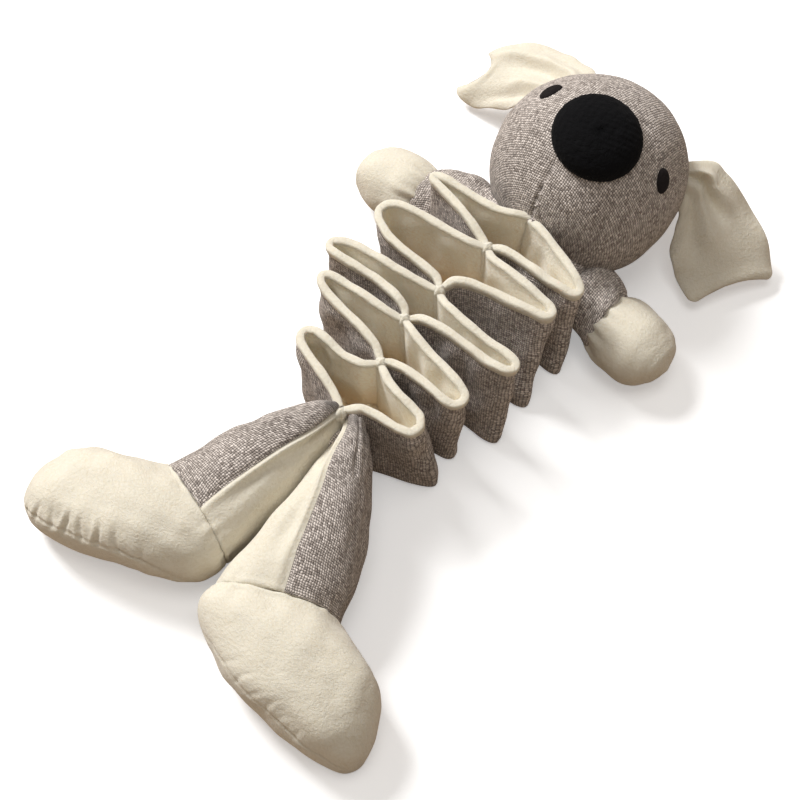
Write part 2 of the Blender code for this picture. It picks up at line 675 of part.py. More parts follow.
def leg_rings(side_name):
    """Upright rings along the leg: a round root on the hip's axis, a taper, a round end on the ankle's."""
    side = SIDES[side_name]
    root_x = CROTCH_SHIFT + side * (LEG_HALF_WIDTH + GAP)
    ankle_x = CROTCH_SHIFT + side * (ANKLE_HALF_WIDTH + GAP + ANKLE_SIDE_SHIFTS[side_name])
    across, up = Vector((1, 0, 0)), Vector((0, 0, 1))
    rings = []

    def ring(share, y, half_width, half_height, height):
        centre = Vector((root_x + (ankle_x - root_x) * share, y, height))
        rings.append(oval_ring(centre, across, up, half_width, half_height, LEG_SIDES, LEG_SQUARENESS))

    for turn in (*ROUND_END_TURNS, math.pi / 2):
        width = LEG_HALF_WIDTH * (ROOT_WIDTH_SHARE + (1 - ROOT_WIDTH_SHARE) * math.sin(turn))
        ring(0, HIP_PIVOT_Y + HIP_RADIUS * math.cos(turn), width, HIP_RADIUS * math.sin(turn), HIP_HEIGHT)
    for share in LEG_SHARES:
        width = LEG_HALF_WIDTH + (ANKLE_HALF_WIDTH - LEG_HALF_WIDTH) * share
        half_height = HIP_RADIUS + (ANKLE_RADIUS - HIP_RADIUS) * share
        height = HIP_HEIGHT + (ANKLE_HEIGHT - HIP_HEIGHT) * share
        ring(share, HIP_PIVOT_Y + (ANKLE_Y - HIP_PIVOT_Y) * share, width, half_height, height)
    for turn in reversed(ROUND_END_TURNS):
        width = ANKLE_HALF_WIDTH * (ANKLE_WIDTH_SHARE + (1 - ANKLE_WIDTH_SHARE) * math.sin(turn))
        y = ANKLE_Y - ANKLE_RADIUS * math.cos(turn)
        ring(1, y, width, ANKLE_RADIUS * math.sin(turn), ANKLE_HEIGHT)
    return rings


def add_leg(model, side_name, rest_cutter):
    """A leg of two strips sewn along its length, grey outside and cream inside."""
    side = SIDES[side_name]
    body = f"leg_{side_name}"
    model.body(body, (0, HIP_PIVOT_Y, HIP_HEIGHT), "hips")
    root_x = CROTCH_SHIFT + side * (LEG_HALF_WIDTH + GAP) - side * LEG_HALF_WIDTH * LEG_SPLIT_SHARE
    ankle_half = ANKLE_HALF_WIDTH * (1 - LEG_SPLIT_SHARE)
    ankle_x = CROTCH_SHIFT + side * (ankle_half + GAP + ANKLE_SIDE_SHIFTS[side_name])
    start, end = HIP_PIVOT_Y + OVERRUN, ANKLE_Y - OVERRUN
    for strip, fabric, way in (("outer", "heather", -side), ("inner", "fleece", side)):
        edge = -way * GAP / 2
        outline = [
            (root_x + edge, start),
            (root_x + edge, HIP_PIVOT_Y),
            (ankle_x + edge, ANKLE_Y),
            (ankle_x + edge, end),
            (ankle_x + way * OVERRUN, end),
            (ankle_x + way * OVERRUN, start),
        ]
        cutter = model.cutter(f"leg_cut_{strip}_{side_name}", prism(outline, -OVERRUN, OVERRUN))
        piece = model.part(f"leg_{side_name}_{strip}", loft(leg_rings(side_name)), body, fabric)
        boolean(piece, cutter)
        boolean(piece, rest_cutter)


def foot_frame(side_name):
    """Heel point and the direction from heel to toe."""
    side = SIDES[side_name]
    heel_x = CROTCH_SHIFT + side * HEEL_FROM_CROTCH[side_name]
    heel = Vector((heel_x, ANKLE_Y - HEEL_BELOW_ANKLE[side_name], 0))
    turn = FOOT_TURNS[side_name]
    return heel, Vector((side * math.cos(turn), -math.sin(turn), 0))


def add_foot(model, side_name, rest_cutter):
    side = SIDES[side_name]
    body = f"foot_{side_name}"
    model.body(body, (0, ANKLE_Y, ANKLE_HEIGHT), f"leg_{side_name}")
    heel, along = foot_frame(side_name)
    across = Vector((-along.y, along.x, 0)) * side
    up = Vector((0, 0, 1))
    growth = cage_growth(CAGE_SIDES)
    rings = []
    for place, depth, height in FOOT_SHARES:
        half_depth = FOOT_HALF_DEPTHS[side_name] * depth
        half_height = FOOT_HALF_HEIGHT * height
        centre = heel + along * FOOT_LENGTHS[side_name] * place
        centre.z = (FOOT_HALF_HEIGHT + half_height) / 2 - REST_CUT
        cage = (half_depth * growth, half_height * growth, CAGE_SIDES, FOOT_SQUARENESS)
        rings.append(oval_ring(centre, across, up, *cage))
    reach = ANKLE_HALF_WIDTH + GAP + ANKLE_SIDE_SHIFTS[side_name]
    low_x = CROTCH_SHIFT + side * (reach - ANKLE_HALF_WIDTH - OVERRUN)
    high_x = CROTCH_SHIFT + side * (reach + ANKLE_HALF_WIDTH + GAP)
    lap = ANKLE_RADIUS * math.sin(FOOT_LIFT)
    axis = ((low_x, ANKLE_Y, ANKLE_HEIGHT), (high_x, ANKLE_Y, ANKLE_HEIGHT))
    seat = model.cutter(f"ankle_seat_{side_name}", rod(*axis, ANKLE_RADIUS + GAP, 2 * LEG_SIDES))
    low = (min(low_x, high_x), ANKLE_Y - lap, -OVERRUN)
    high = (max(low_x, high_x), ANKLE_Y + OVERRUN, OVERRUN)
    room = model.cutter(f"ankle_room_{side_name}", box(low, high))
    sole_line = heel - across * FOOT_HALF_DEPTHS[side_name] * SOLE_SHARE
    for name, fabric, way in ((f"foot_{side_name}", "fleece", 1), (f"sole_{side_name}", "fleece", -1)):
        piece = model.part(name, loft(rings), body, fabric)
        subdivide(piece)
        edge = sole_line + across * way * GAP / 2
        corners = [edge - along * OVERRUN, edge + along * 2 * OVERRUN]
        corners += [corners[1] - across * way * OVERRUN, corners[0] - across * way * OVERRUN]
        outline = [(p.x, p.y) for p in corners]
        boolean(piece, model.cutter(f"{name}_cut", prism(outline, -OVERRUN, OVERRUN)))
        boolean(piece, seat)
        boolean(piece, room)
        boolean(piece, rest_cutter)


def build():
    clear_scene()
    model = Model()
    model.body("chest", (0, HEAD_SEAM, 0))
    table = box((-TABLE_REACH, -TABLE_REACH, -OVERRUN), (TABLE_REACH, TABLE_REACH, 0))
    rest_cutter = model.cutter("table", table)
    chest_sweep = model.cutter("chest_fold_sweep", fold_sweep(POCKETS[0], HEAD_SEAM, 1))
    hip_sweep = model.cutter("hip_fold_sweep", fold_sweep(POCKETS[-1], FOOT_SEAM, -1))
    add_bellows(model)
    head_seat = add_head(model, rest_cutter)
    for side_name in SIDES:
        add_ear(model, side_name, rest_cutter, head_seat)
        add_arm(model, side_name, rest_cutter, chest_sweep)
    add_chest(model, chest_sweep)
    add_hips(model, hip_sweep)
    for side_name in SIDES:
        add_leg(model, side_name, rest_cutter)
        add_foot(model, side_name, rest_cutter)


build()
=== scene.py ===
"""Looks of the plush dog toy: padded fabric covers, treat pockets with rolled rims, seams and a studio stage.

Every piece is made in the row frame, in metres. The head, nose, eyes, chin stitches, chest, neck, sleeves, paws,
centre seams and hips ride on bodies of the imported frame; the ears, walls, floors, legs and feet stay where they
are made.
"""

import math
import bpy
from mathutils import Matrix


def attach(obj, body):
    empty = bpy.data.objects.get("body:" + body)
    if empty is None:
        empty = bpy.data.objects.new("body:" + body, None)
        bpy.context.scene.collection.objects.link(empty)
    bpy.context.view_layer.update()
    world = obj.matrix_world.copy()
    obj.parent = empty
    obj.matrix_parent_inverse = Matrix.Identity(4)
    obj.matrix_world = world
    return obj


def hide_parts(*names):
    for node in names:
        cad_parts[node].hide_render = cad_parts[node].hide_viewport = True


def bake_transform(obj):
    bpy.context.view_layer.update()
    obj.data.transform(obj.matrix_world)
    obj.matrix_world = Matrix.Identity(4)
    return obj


bl_info = {
    "name": "Plush pocket toy covers",
    "version": (1, 0, 0),
    "blender": (4, 5, 0),
    "location": "3D View > Sidebar > Plush toy",
    "description": "Makes the fabric covers of a plush dog toy with folding treat pockets",
    "category": "Object",
}

import bpy
import numpy as np
from mathutils import Vector
from mathutils.kdtree import KDTree

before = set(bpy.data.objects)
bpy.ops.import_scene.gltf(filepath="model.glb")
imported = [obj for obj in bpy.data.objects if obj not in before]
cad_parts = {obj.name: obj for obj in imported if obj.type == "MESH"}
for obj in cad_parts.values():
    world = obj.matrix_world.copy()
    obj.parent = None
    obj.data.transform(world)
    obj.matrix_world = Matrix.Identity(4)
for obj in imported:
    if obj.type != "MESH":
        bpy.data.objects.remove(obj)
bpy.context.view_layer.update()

MM = 0.001
SIDES = {"left": -1, "right": 1}
RIGHT, AHEAD, UP = np.eye(3)
HEATHER, FLEECE, LINING = "grey heather weave", "cream fleece", "cream lining"
PLUSH, FELT, PAPER = "black plush", "black felt", "studio paper"


def length_setting(name, description, default, least, most):
    """A length; its numbers are in mm."""
    return bpy.props.FloatProperty(
        name=name, description=description, default=default * MM, min=least * MM, max=most * MM,
        unit="LENGTH", subtype="DISTANCE")


def colour_setting(name, description, default):
    return bpy.props.FloatVectorProperty(
        name=name, description=description, default=default, size=3, subtype="COLOR", min=0, max=1)


class FabricSettings(bpy.types.PropertyGroup):
    """Yarns and piles of the fabrics."""

    yarn_pitch: length_setting("Yarn pitch", "Distance between the yarns of the grey weave", 1.4, 0.5, 5)
    yarn_light: colour_setting("Light yarn", "Palest yarn of the grey weave", (0.69, 0.62, 0.57))
    yarn_grey: colour_setting("Grey yarn", "Main yarn of the grey weave", (0.395, 0.345, 0.31))
    yarn_dark: colour_setting("Dark yarn", "Darkest yarn of the grey weave", (0.15, 0.12, 0.105))
    fleece: colour_setting("Fleece", "Pale fleece of the ears, paws, feet and rims", (0.765, 0.72, 0.61))
    # painted shade: the fleece's darker colour in the hollows between its tufts
    fleece_hollows_in_shade: colour_setting("Fleece hollows", "Fleece between the tufts of its nap", (0.70, 0.64, 0.51))
    lining: colour_setting("Lining", "Fleece lining at the pockets' mouths", (0.97, 0.93, 0.82))
    # painted shade: the lining's darker, warmer colour deep down in the pockets
    lining_painted_depth_shade: colour_setting("Deep lining", "Fleece lining at the bottom of the pockets", (0.76, 0.56, 0.31))
    plush: colour_setting("Nose plush", "Short black pile of the nose", (0.006, 0.006, 0.0065))
    felt: colour_setting("Eye felt", "Black felt of the eyes", (0.012, 0.010, 0.010))
    nap: length_setting("Nap", "Size of the fleece's tufts", 0.9, 0.2, 6)


class PocketSettings(bpy.types.PropertyGroup):
    """Sizes of the pockets' walls."""

    wall_height: length_setting("Wall height", "Height of the rolled rims above the table", 72, 20, 120)
    wall_thickness: length_setting("Wall thickness", "Thickness of a quilted wall at its middle", 5.4, 1, 12)
    rim_radius: length_setting("Rim radius", "Half the width of the rolled fleece rim", 2.45, 0.5, 5)
    fold_depth: length_setting("Fold depth", "Depth of the soft upright folds in the walls", 1.0, 0, 4)


class PaddingSettings(bpy.types.PropertyGroup):
    """Sizes of the padded pieces."""

    head_radius: length_setting("Head radius", "Radius of the padded head", 57, 20, 90)
    pucker_depth: length_setting("Pucker depth", "Depth of the gathers at the sewn seams", 1.3, 0, 5)


class StageSettings(bpy.types.PropertyGroup):
    """Camera, floor and lamps."""

    view_angle: bpy.props.FloatProperty(
        name="View angle", description="Angle of view across the picture",
        default=math.radians(28), min=0.1, max=2, unit="ROTATION", subtype="ANGLE")
    camera_place: bpy.props.FloatVectorProperty(
        name="Camera place", description="Where the camera stands",
        default=(0.2832, -0.3535, 0.8191), size=3, unit="LENGTH", subtype="TRANSLATION")
    camera_aim: bpy.props.FloatVectorProperty(
        name="Camera aim", description="What the camera looks at",
        default=(0.0136, -0.03895, 0.040), size=3, unit="LENGTH", subtype="TRANSLATION")
    key_power: bpy.props.FloatProperty(
        name="Key lamp", description="Power of the large soft lamp",
        default=121, min=0, max=600, unit="POWER")
    world_strength: bpy.props.FloatProperty(
        name="World strength", description="Strength of the even studio light",
        default=0.23, min=0, max=3)


GROUPS = {
    "plush_fabrics": FabricSettings,
    "plush_pockets": PocketSettings,
    "plush_padding": PaddingSettings,
    "plush_stage": StageSettings,
}


# numbers and curves


def bump_line(distance, width):
    """1 on a line, fading to 0 a few widths away from it."""
    return np.exp(-((distance / width) ** 2))


def ease(value, low, high):
    """0 below low, 1 above high, and smooth in between."""
    t = np.clip((value - low) / (high - low), 0, 1)
    return t * t * (3 - 2 * t)


def bent(value, power):
    """A value from -1 to 1 raised to a power, with its sign kept."""
    return np.sign(value) * np.abs(value) ** power


def round_off(past, least=0):
    """1 until past is 0, and from there down as a quarter circle goes; least is the square of its lowest value."""
    return np.sqrt(np.clip(1 - np.clip(past, 0, 1) ** 2, least, 1))


def smooth_values(table, at):
    """Values between the rows of a table whose first column is the place, without corners."""
    table = np.asarray(table, float)
    places, values = table[:, 0], table[:, 1:]
    slopes = np.gradient(values, places, axis=0)
    k = np.clip(np.searchsorted(places, at, side="right") - 1, 0, len(places) - 2)
    step = (places[k + 1] - places[k])[..., None]
    t = ((at - places[k])[..., None]) / step
    return (
        (2 * t**3 - 3 * t**2 + 1) * values[k]
        + (t**3 - 2 * t**2 + t) * step * slopes[k]
        + (3 * t**2 - 2 * t**3) * values[k + 1]
        + (t**3 - t**2) * step * slopes[k + 1]
    )


def evenly(line, count):
    """Points at even steps along a line."""
    length = np.concatenate(([0], np.cumsum(np.linalg.norm(np.diff(line, axis=0), axis=1))))
    at = np.linspace(0, length[-1], count)
    return np.stack([np.interp(at, length, line[:, k]) for k in range(line.shape[1])], axis=1)


def smooth_line(points, count, steps=14):
    """A smooth curve through points, with count points evenly along it."""
    points = np.asarray(points, float)
    points = np.vstack((2 * points[0] - points[1], points, 2 * points[-1] - points[-2]))
    dense = []
    for p0, p1, p2, p3 in zip(points, points[1:], points[2:], points[3:]):
        for t in np.linspace(0, 1, steps, endpoint=False):
            dense.append(
                0.5 * (2 * p1 + (p2 - p0) * t + (2 * p0 - 5 * p1 + 4 * p2 - p3) * t**2
                       + (3 * p1 - p0 - 3 * p2 + p3) * t**3)
            )
    dense.append(points[-2])
    return evenly(np.array(dense), count)


def straight_line(points, count, rounding=3):
    """Points at even steps along straight runs, with their corners just rounded off."""
    line = evenly(np.array(points, float), count)
    for _ in range(rounding):
        line[1:-1] = (line[:-2] + 2 * line[1:-1] + line[2:]) / 4
    return line


def lumps(points, size, seed):
    """Soft unevenness from -1 to 1, with humps of about the given size."""
    rng = np.random.default_rng(seed)
    total = np.zeros(points.shape[:-1])
    for _ in range(9):
        way = rng.normal(size=points.shape[-1])
        way *= rng.uniform(0.6, 1.5) / np.linalg.norm(way)
        total += np.sin(points @ way * (math.pi / size) + rng.uniform(0, 2 * math.pi))
    return total / 4


def unit(vectors):
    vectors = np.asarray(vectors, float)
    return vectors / np.maximum(np.linalg.norm(vectors, axis=-1, keepdims=True), 1e-12)


def grid_normals(points):
    """Directions away from the surface of a tube of rows and columns."""
    across = np.roll(points, -1, axis=1) - np.roll(points, 1, axis=1)
    return unit(np.cross(across, np.gradient(points, axis=0)))


def pushed(points, depth):
    """The tube with every point moved out by its own depth."""
    return points + grid_normals(points) * depth[..., None]


def swelled(points, depth):
    """The tube with every point moved away from its middle, whichever way round its sections run."""
    normals = grid_normals(points)
    away = points - points.mean(axis=1, keepdims=True)
    return points + normals * np.sign(np.sum(normals * away, -1).mean()) * depth[..., None]


def on_table(points, lowest=0.4 * MM, soft=1.5 * MM):
    """The points, flattened where they would go through the table."""
    points = points.copy()
    z = points[..., 2]
    points[..., 2] = np.where(z < lowest + soft, lowest + soft * np.exp((z - lowest - soft) / soft), z)
    return points


def full_turn(columns, start=0.0):
    return start + np.linspace(0, 2 * math.pi, columns, endpoint=False)


def oval_sections(centres, across, up, half_width, half_height, turns, squareness=1.0):
    """Rows of oval sections: one row for each centre, one column for each turn."""
    x = half_width[:, None] * bent(np.cos(turns), squareness)
    y = half_height[:, None] * bent(np.sin(turns), squareness)
    return centres[:, None] + x[..., None] * across[..., None, :] + y[..., None] * up[..., None, :]


# meshes


def coordinates(mesh):
    flat = np.empty(len(mesh.vertices) * 3)
    mesh.vertices.foreach_get("co", flat)
    return flat.reshape(-1, 3)


def grid_faces(rows, columns, wide):
    """The row and column of each face's first corner, and the faces of a grid, wide faces across."""
    r, c = np.meshgrid(np.arange(rows - 1), np.arange(wide), indexing="ij")
    here, after = r * columns, (c + 1) % columns
    faces = np.stack((here + c, here + after, here + columns + after, here + columns + c), -1)
    return r, c, faces.reshape(-1, 4).tolist()


CLOTH_PRESSURE = 4
CLOTH_FRAMES = 20
CLOTH_VOXEL = 5 * MM


def settled(bag, slack):
    """A coarse copy of a bag's points and the moves of its cloth under pressure, without its overall swelling."""
    scene = bpy.context.scene
    whole = bpy.data.objects.new("bag", bag)
    scene.collection.objects.link(whole)
    even = whole.modifiers.new("even", "REMESH")
    even.mode = "VOXEL"
    even.voxel_size = CLOTH_VOXEL
    coarse = bpy.data.meshes.new_from_object(whole.evaluated_get(bpy.context.evaluated_depsgraph_get()))
    begin = coordinates(coarse)
    normals = np.array([v.normal for v in coarse.vertices])
    coarse.vertices.foreach_set("co", (begin - normals * 1.0 * MM).ravel())
    pad = bpy.data.objects.new("stuffing", coarse)
    scene.collection.objects.link(pad)
    cloth = pad.modifiers.new("cloth", "CLOTH").settings
    cloth.use_pressure = True
    cloth.uniform_pressure_force = CLOTH_PRESSURE
    cloth.effector_weights.gravity = 0
    cloth.shrink_min = -slack
    cloth.bending_stiffness = 0.3
    for moment in range(1, CLOTH_FRAMES + 1):
        scene.frame_set(moment)
    moves = coordinates(pad.evaluated_get(bpy.context.evaluated_depsgraph_get()).data) - begin
    moves -= moves.mean(0)
    moves -= normals * np.sum(moves * normals, -1).mean()
    scene.frame_set(1)
    for thing in (pad, whole):
        bpy.data.objects.remove(thing)
    for mesh in (bag, coarse):
        bpy.data.meshes.remove(mesh)
    return begin, moves


def stuffed(points, cap=2.5 * MM, slack=0.07):
    """The points of a closed cover, moved as its cloth moves when it is filled.

    The cloth is cut a little too large, so it settles into soft creases. No point moves further than cap.
    """
    rows, columns = points.shape[:2]
    count = rows * columns
    spots = np.concatenate((points.reshape(-1, 3), points[:1].mean(1), points[-1:].mean(1)))
    faces = grid_faces(rows, columns, columns)[2]
    last = count - columns
    for j in range(columns):
        k = (j + 1) % columns
        faces += [(count, k, j), (count + 1, last + j, last + k)]
    bag = bpy.data.meshes.new("bag")
    bag.from_pydata(spots.tolist(), [], faces)
    begin, moves = settled(bag, slack)
    length = np.linalg.norm(moves, axis=1, keepdims=True)
    moves *= cap * np.tanh(length / cap) / np.maximum(length, 1e-9)
    tree = KDTree(len(begin))
    for k, spot in enumerate(begin):
        tree.insert(spot, k)
    tree.balance()
    passed = np.empty((count, 3))
    for k, spot in enumerate(points.reshape(-1, 3)):
        near = tree.find_n(spot, 6)
        shares = np.array([1 / (d * d + (2 * MM) ** 2) for _, _, d in near])
        passed[k] = (moves[[n for _, n, _ in near]] * shares[:, None]).sum(0) / shares.sum()
    return points + passed.reshape(points.shape)


def cover(name, points, *fabrics, kinds=0, closed=True):
    """A cover from a grid of points, with a texture map in metres along and across the cloth.

    kinds says which of the fabrics each face is cut from, by row and column.
    """
    rows, columns = points.shape[:2]
    wide = columns if closed else columns - 1
    r, c, faces = grid_faces(rows, columns, wide)
    following = np.roll(points, -1, axis=1) if closed else points[:, 1:]
    steps = np.linalg.norm(following - points[:, :wide], axis=-1)
    u = np.concatenate((np.zeros((rows, 1)), np.cumsum(steps, axis=1)), axis=1)
    u -= u[:, -1:] / 2
    v = np.concatenate(([0], np.cumsum(np.linalg.norm(np.diff(points, axis=0), axis=-1).mean(axis=1))))
    maps = np.stack((u, np.repeat(v[:, None], u.shape[1], axis=1)), -1)
    corners = np.stack((maps[r, c], maps[r, c + 1], maps[r + 1, c + 1], maps[r + 1, c]), -2).reshape(-1, 2)
    kinds = np.broadcast_to(kinds, r.shape).reshape(-1)
    if closed:
        faces += [list(range(columns))[::-1], list(range((rows - 1) * columns, rows * columns))]
        corners = np.concatenate((corners, points[0][::-1, :2], points[-1][:, :2]))
        kinds = np.concatenate((kinds, kinds[[0, -1]]))
    mesh = bpy.data.meshes.new(name)
    mesh.from_pydata(points.reshape(-1, 3).tolist(), [], faces)
    mesh.uv_layers.new(name="cloth").data.foreach_set("uv", corners.reshape(-1).astype(np.float32))
    for fabric in fabrics:
        mesh.materials.append(bpy.data.materials[fabric])
    mesh.polygons.foreach_set("material_index", kinds.astype(np.int32))
    mesh.shade_smooth()
    mesh.update()
    piece = bpy.data.objects.new(name, mesh)
    bpy.context.scene.collection.objects.link(piece)
    return piece


def turn_outward(piece):
    """Turns a closed cover's faces so that they look outwards."""
    spots = coordinates(piece.data)
    spots -= spots.mean(0)
    volume = 0.0
    for face in piece.data.polygons:
        corners = spots[list(face.vertices)]
        for second, third in zip(corners[1:], corners[2:]):
            volume += float(np.dot(corners[0], np.cross(second, third)))
    if volume < 0:
        piece.data.flip_normals()


def joined(name, parts):
    """One piece made of several; they keep their own materials."""
    bpy.ops.object.select_all(action="DESELECT")
    for part in parts:
        part.select_set(True)
    bpy.context.view_layer.objects.active = parts[0]
    bpy.ops.object.join()
    parts[0].name = name
    return parts[0]


def thread(name, points, radius, fabric):
    """A short stitch of thread through a few points, thin at its ends."""
    swell = radius * np.array((0.35, 0.85, 1, 1, 1, 1, 1, 0.85, 0.35))
    line = smooth_line(points, len(swell))
    ahead = unit(np.gradient(line, axis=0))
    side = unit(np.cross(ahead, UP + 0.01))
    return cover(name, oval_sections(line, side, np.cross(side, ahead), swell, swell, full_turn(8)), fabric)


# fabrics


class Drawing:
    """Draws nodes in a tree. Sockets go by their names, with _ for a space, or by their place, such as at_0."""

    def __init__(self, tree):
        self.tree = tree

    def plug(self, value, socket):
        """Links an output to a socket, or sets a number or colour on it."""
        if isinstance(value, bpy.types.NodeSocket):
            self.tree.links.new(value, socket)
        else:
            socket.default_value = value

    def node(self, kind, operation=None, **sockets):
        node = self.tree.nodes.new("ShaderNode" + kind)
        if operation:
            node.operation = operation
        for key, value in sockets.items():
            self.plug(value, node.inputs[int(key[3:]) if key.startswith("at_") else key.replace("_", " ")])
        return node

    def calc(self, operation, *values):
        sockets = {f"at_{k}": value for k, value in enumerate(values)}
        return self.node("Math", operation, **sockets).outputs[0]

    def vector(self, operation, first, second):
        return self.node("VectorMath", operation, at_0=first, at_1=second).outputs[0]

    def noise(self, where, scale, detail, **sockets):
        return self.node("TexNoise", Vector=where, Scale=scale, Detail=detail, **sockets).outputs

    def stretch(self, value, low, high, to_low=0, to_high=1):
        """The value's range from low to high, stretched to another."""
        ranges = {"From_Min": low, "From_Max": high, "To_Min": to_low, "To_Max": to_high}
        return self.node("MapRange", Value=value, **ranges).outputs[0]

    def mix_values(self, share, first, second):
        return self.node("Mix", at_0=share, at_2=first, at_3=second).outputs[0]

    def mix_colours(self, share, first, second):
        node = self.node("Mix")
        node.data_type = "RGBA"
        for place, value in ((0, share), (6, first), (7, second)):
            self.plug(value, node.inputs[place])
        return node.outputs[2]


def new_effect(name, inputs):
    """An empty node group that puts out a colour and a height; returns its drawing, inputs and outputs."""
    tree = bpy.data.node_groups.new(name, "ShaderNodeTree")
    for key, value in inputs.items():
        kind = "NodeSocketColor" if isinstance(value, tuple) else "NodeSocketFloat"
        tree.interface.new_socket(name=key, in_out="INPUT", socket_type=kind).default_value = value
    for key, kind in (("Color", "NodeSocketColor"), ("Height", "NodeSocketFloat")):
        tree.interface.new_socket(name=key, in_out="OUTPUT", socket_type=kind)
    return Drawing(tree), tree.nodes.new("NodeGroupInput").outputs, tree.nodes.new("NodeGroupOutput").inputs


def make_weave():
    """Plain weave of mixed yarns: each yarn passes over one crossing and under the next. Its colour carries
    painted shade in the grooves between the yarns and a painted highlight on their backs.
    """
    draw, given, out = new_effect("heather_weave", {
        "Pitch": 1.3 * MM,
        "Light Yarn": (0.5, 0.5, 0.5, 1),
        "Grey Yarn": (0.2, 0.2, 0.2, 1),
        "Dark Yarn": (0.05, 0.05, 0.05, 1),
    })
    calc = draw.calc
    cloth = moved = draw.node("UVMap").outputs[0]
    # the yarns wander over a few crossings, and are uneven within one
    for scale, detail, reach in ((70, 2, 2.2 * MM), (520, 1, 1.0 * MM)):
        sway = draw.vector("SUBTRACT", draw.noise(cloth, scale, detail)["Color"], (0.5, 0.5, 0.5))
        moved = draw.vector("ADD", moved, draw.vector("MULTIPLY", sway, (reach, reach, 0)))
    place = draw.node("SeparateXYZ", at_0=moved).outputs
    across, along = calc("DIVIDE", place[0], given["Pitch"]), calc("DIVIDE", place[1], given["Pitch"])
    column, row = calc("FLOOR", across), calc("FLOOR", along)
    over = calc("PINGPONG", calc("ADD", column, row), 1)

    def swell(yarns):
        """0 at a yarn's edges and 1 on its back."""
        return calc("SINE", calc("MULTIPLY", calc("FRACT", yarns), math.pi))

    def yarn(crown, run):
        """Height of a yarn whose round back is crown and which dips at the ends of run."""
        return calc("MULTIPLY", calc("POWER", crown, 0.7), calc("MULTIPLY_ADD", run, 0.45, 0.55))

    def yarn_shade(first, second, seed):
        """A random shade that lasts for two crossings along one yarn."""
        stretch = calc("FLOOR", calc("DIVIDE", second, 2))
        spot = draw.node("CombineXYZ", X=first, Y=stretch, Z=seed).outputs[0]
        return draw.node("TexWhiteNoise", Vector=spot).outputs["Value"]

    swell_x, swell_y = swell(across), swell(along)
    height = draw.mix_values(over, yarn(swell_x, swell_y), yarn(swell_y, swell_x))
    shade = draw.mix_values(over, yarn_shade(column, row, 3.0), yarn_shade(row, column, 8.0))
    # fibres in the yarns, and broad patches
    for scale, detail, strength in ((2600, 1, 0.35), (55, 2, 0.25)):
        speck = calc("SUBTRACT", draw.noise(cloth, scale, detail)[0], 0.5)
        shade = calc("ADD", shade, calc("MULTIPLY", speck, strength))
    colour = draw.mix_colours(draw.stretch(shade, 0.22, -0.12), given["Grey Yarn"], given["Dark Yarn"])
    colour = draw.mix_colours(draw.stretch(shade, 0.30, 1.05), colour, given["Light Yarn"])
    # painted shade and highlight: the colour is darkened down to 0.18 in the grooves between the yarns and
    # lightened up to 1.34 on their round backs
    groove_painted_shade_and_highlight = draw.stretch(height, 0.10, 0.80, 0.18, 1.34)
    draw.plug(draw.node("VectorMath", "SCALE", at_0=colour, Scale=groove_painted_shade_and_highlight).outputs[0], out["Color"])
    draw.plug(height, out["Height"])


def make_nap():
    """Soft nap of a fleece or pile: matted tufts with darker hollows between them; the hollows' darker colour is
    painted shade.
    """
    draw, given, out = new_effect("fleece_nap", {
        "Tuft Size": 1.0 * MM,
        "Pile": (0.8, 0.8, 0.8, 1),
        "Hollows": (0.6, 0.6, 0.6, 1),
        "Painted Hollow Shade": 0.4,
    })
    cloth = draw.node("UVMap").outputs[0]
    scale = draw.calc("DIVIDE", 0.55, given["Tuft Size"])
    fine = draw.noise(cloth, scale, 3, Roughness=0.65, Distortion=0.6)[0]
    broad = draw.noise(cloth, draw.calc("MULTIPLY", scale, 0.12), 2)[0]
    tufts, matted = draw.stretch(fine, 0.36, 0.62), draw.stretch(broad, 0.35, 0.7)
    # painted shade: how much of the darker hollow colour shows between the tufts, more in the matted patches
    hollow = draw.calc("MULTIPLY_ADD", matted, 0.6, given["Painted Hollow Shade"])
    share = draw.calc("MULTIPLY", draw.calc("SUBTRACT", 1, tufts), hollow)
    draw.plug(draw.mix_colours(share, given["Pile"], given["Hollows"]), out["Color"])
    draw.plug(draw.calc("MULTIPLY_ADD", matted, 0.5, fine), out["Height"])


def make_fabric(name, effect_name, values, roughness, sheen, specular=0.3, glow=0.0):
    """A fabric whose colour and relief come from an effect; glow is light that spreads inside the pile."""
    fabric = bpy.data.materials.new(name)
    fabric.use_nodes = True
    draw = Drawing(fabric.node_tree)
    effect = draw.node("Group")
    effect.node_tree = bpy.data.node_groups[effect_name]
    for key, value in values.items():
        effect.inputs[key].default_value = (*value, 1) if key in ("Pile", "Hollows") or "Yarn" in key else value
    shader = fabric.node_tree.nodes["Principled BSDF"]
    for key, value in {
        "Roughness": roughness,
        "Specular IOR Level": specular,
        "Sheen Weight": sheen,
        "Sheen Roughness": 0.45,
        "Subsurface Weight": glow,
        "Subsurface Radius": (1.0, 0.9, 0.75),
        "Subsurface Scale": 4 * MM,
    }.items():
        shader.inputs[key].default_value = value
    draw.plug(effect.outputs["Color"], shader.inputs["Base Color"])
    relief = draw.node("Bump", Height=effect.outputs["Height"], Distance=0.6 * MM, Strength=1.0)
    draw.plug(relief.outputs[0], shader.inputs["Normal"])
    return draw, effect


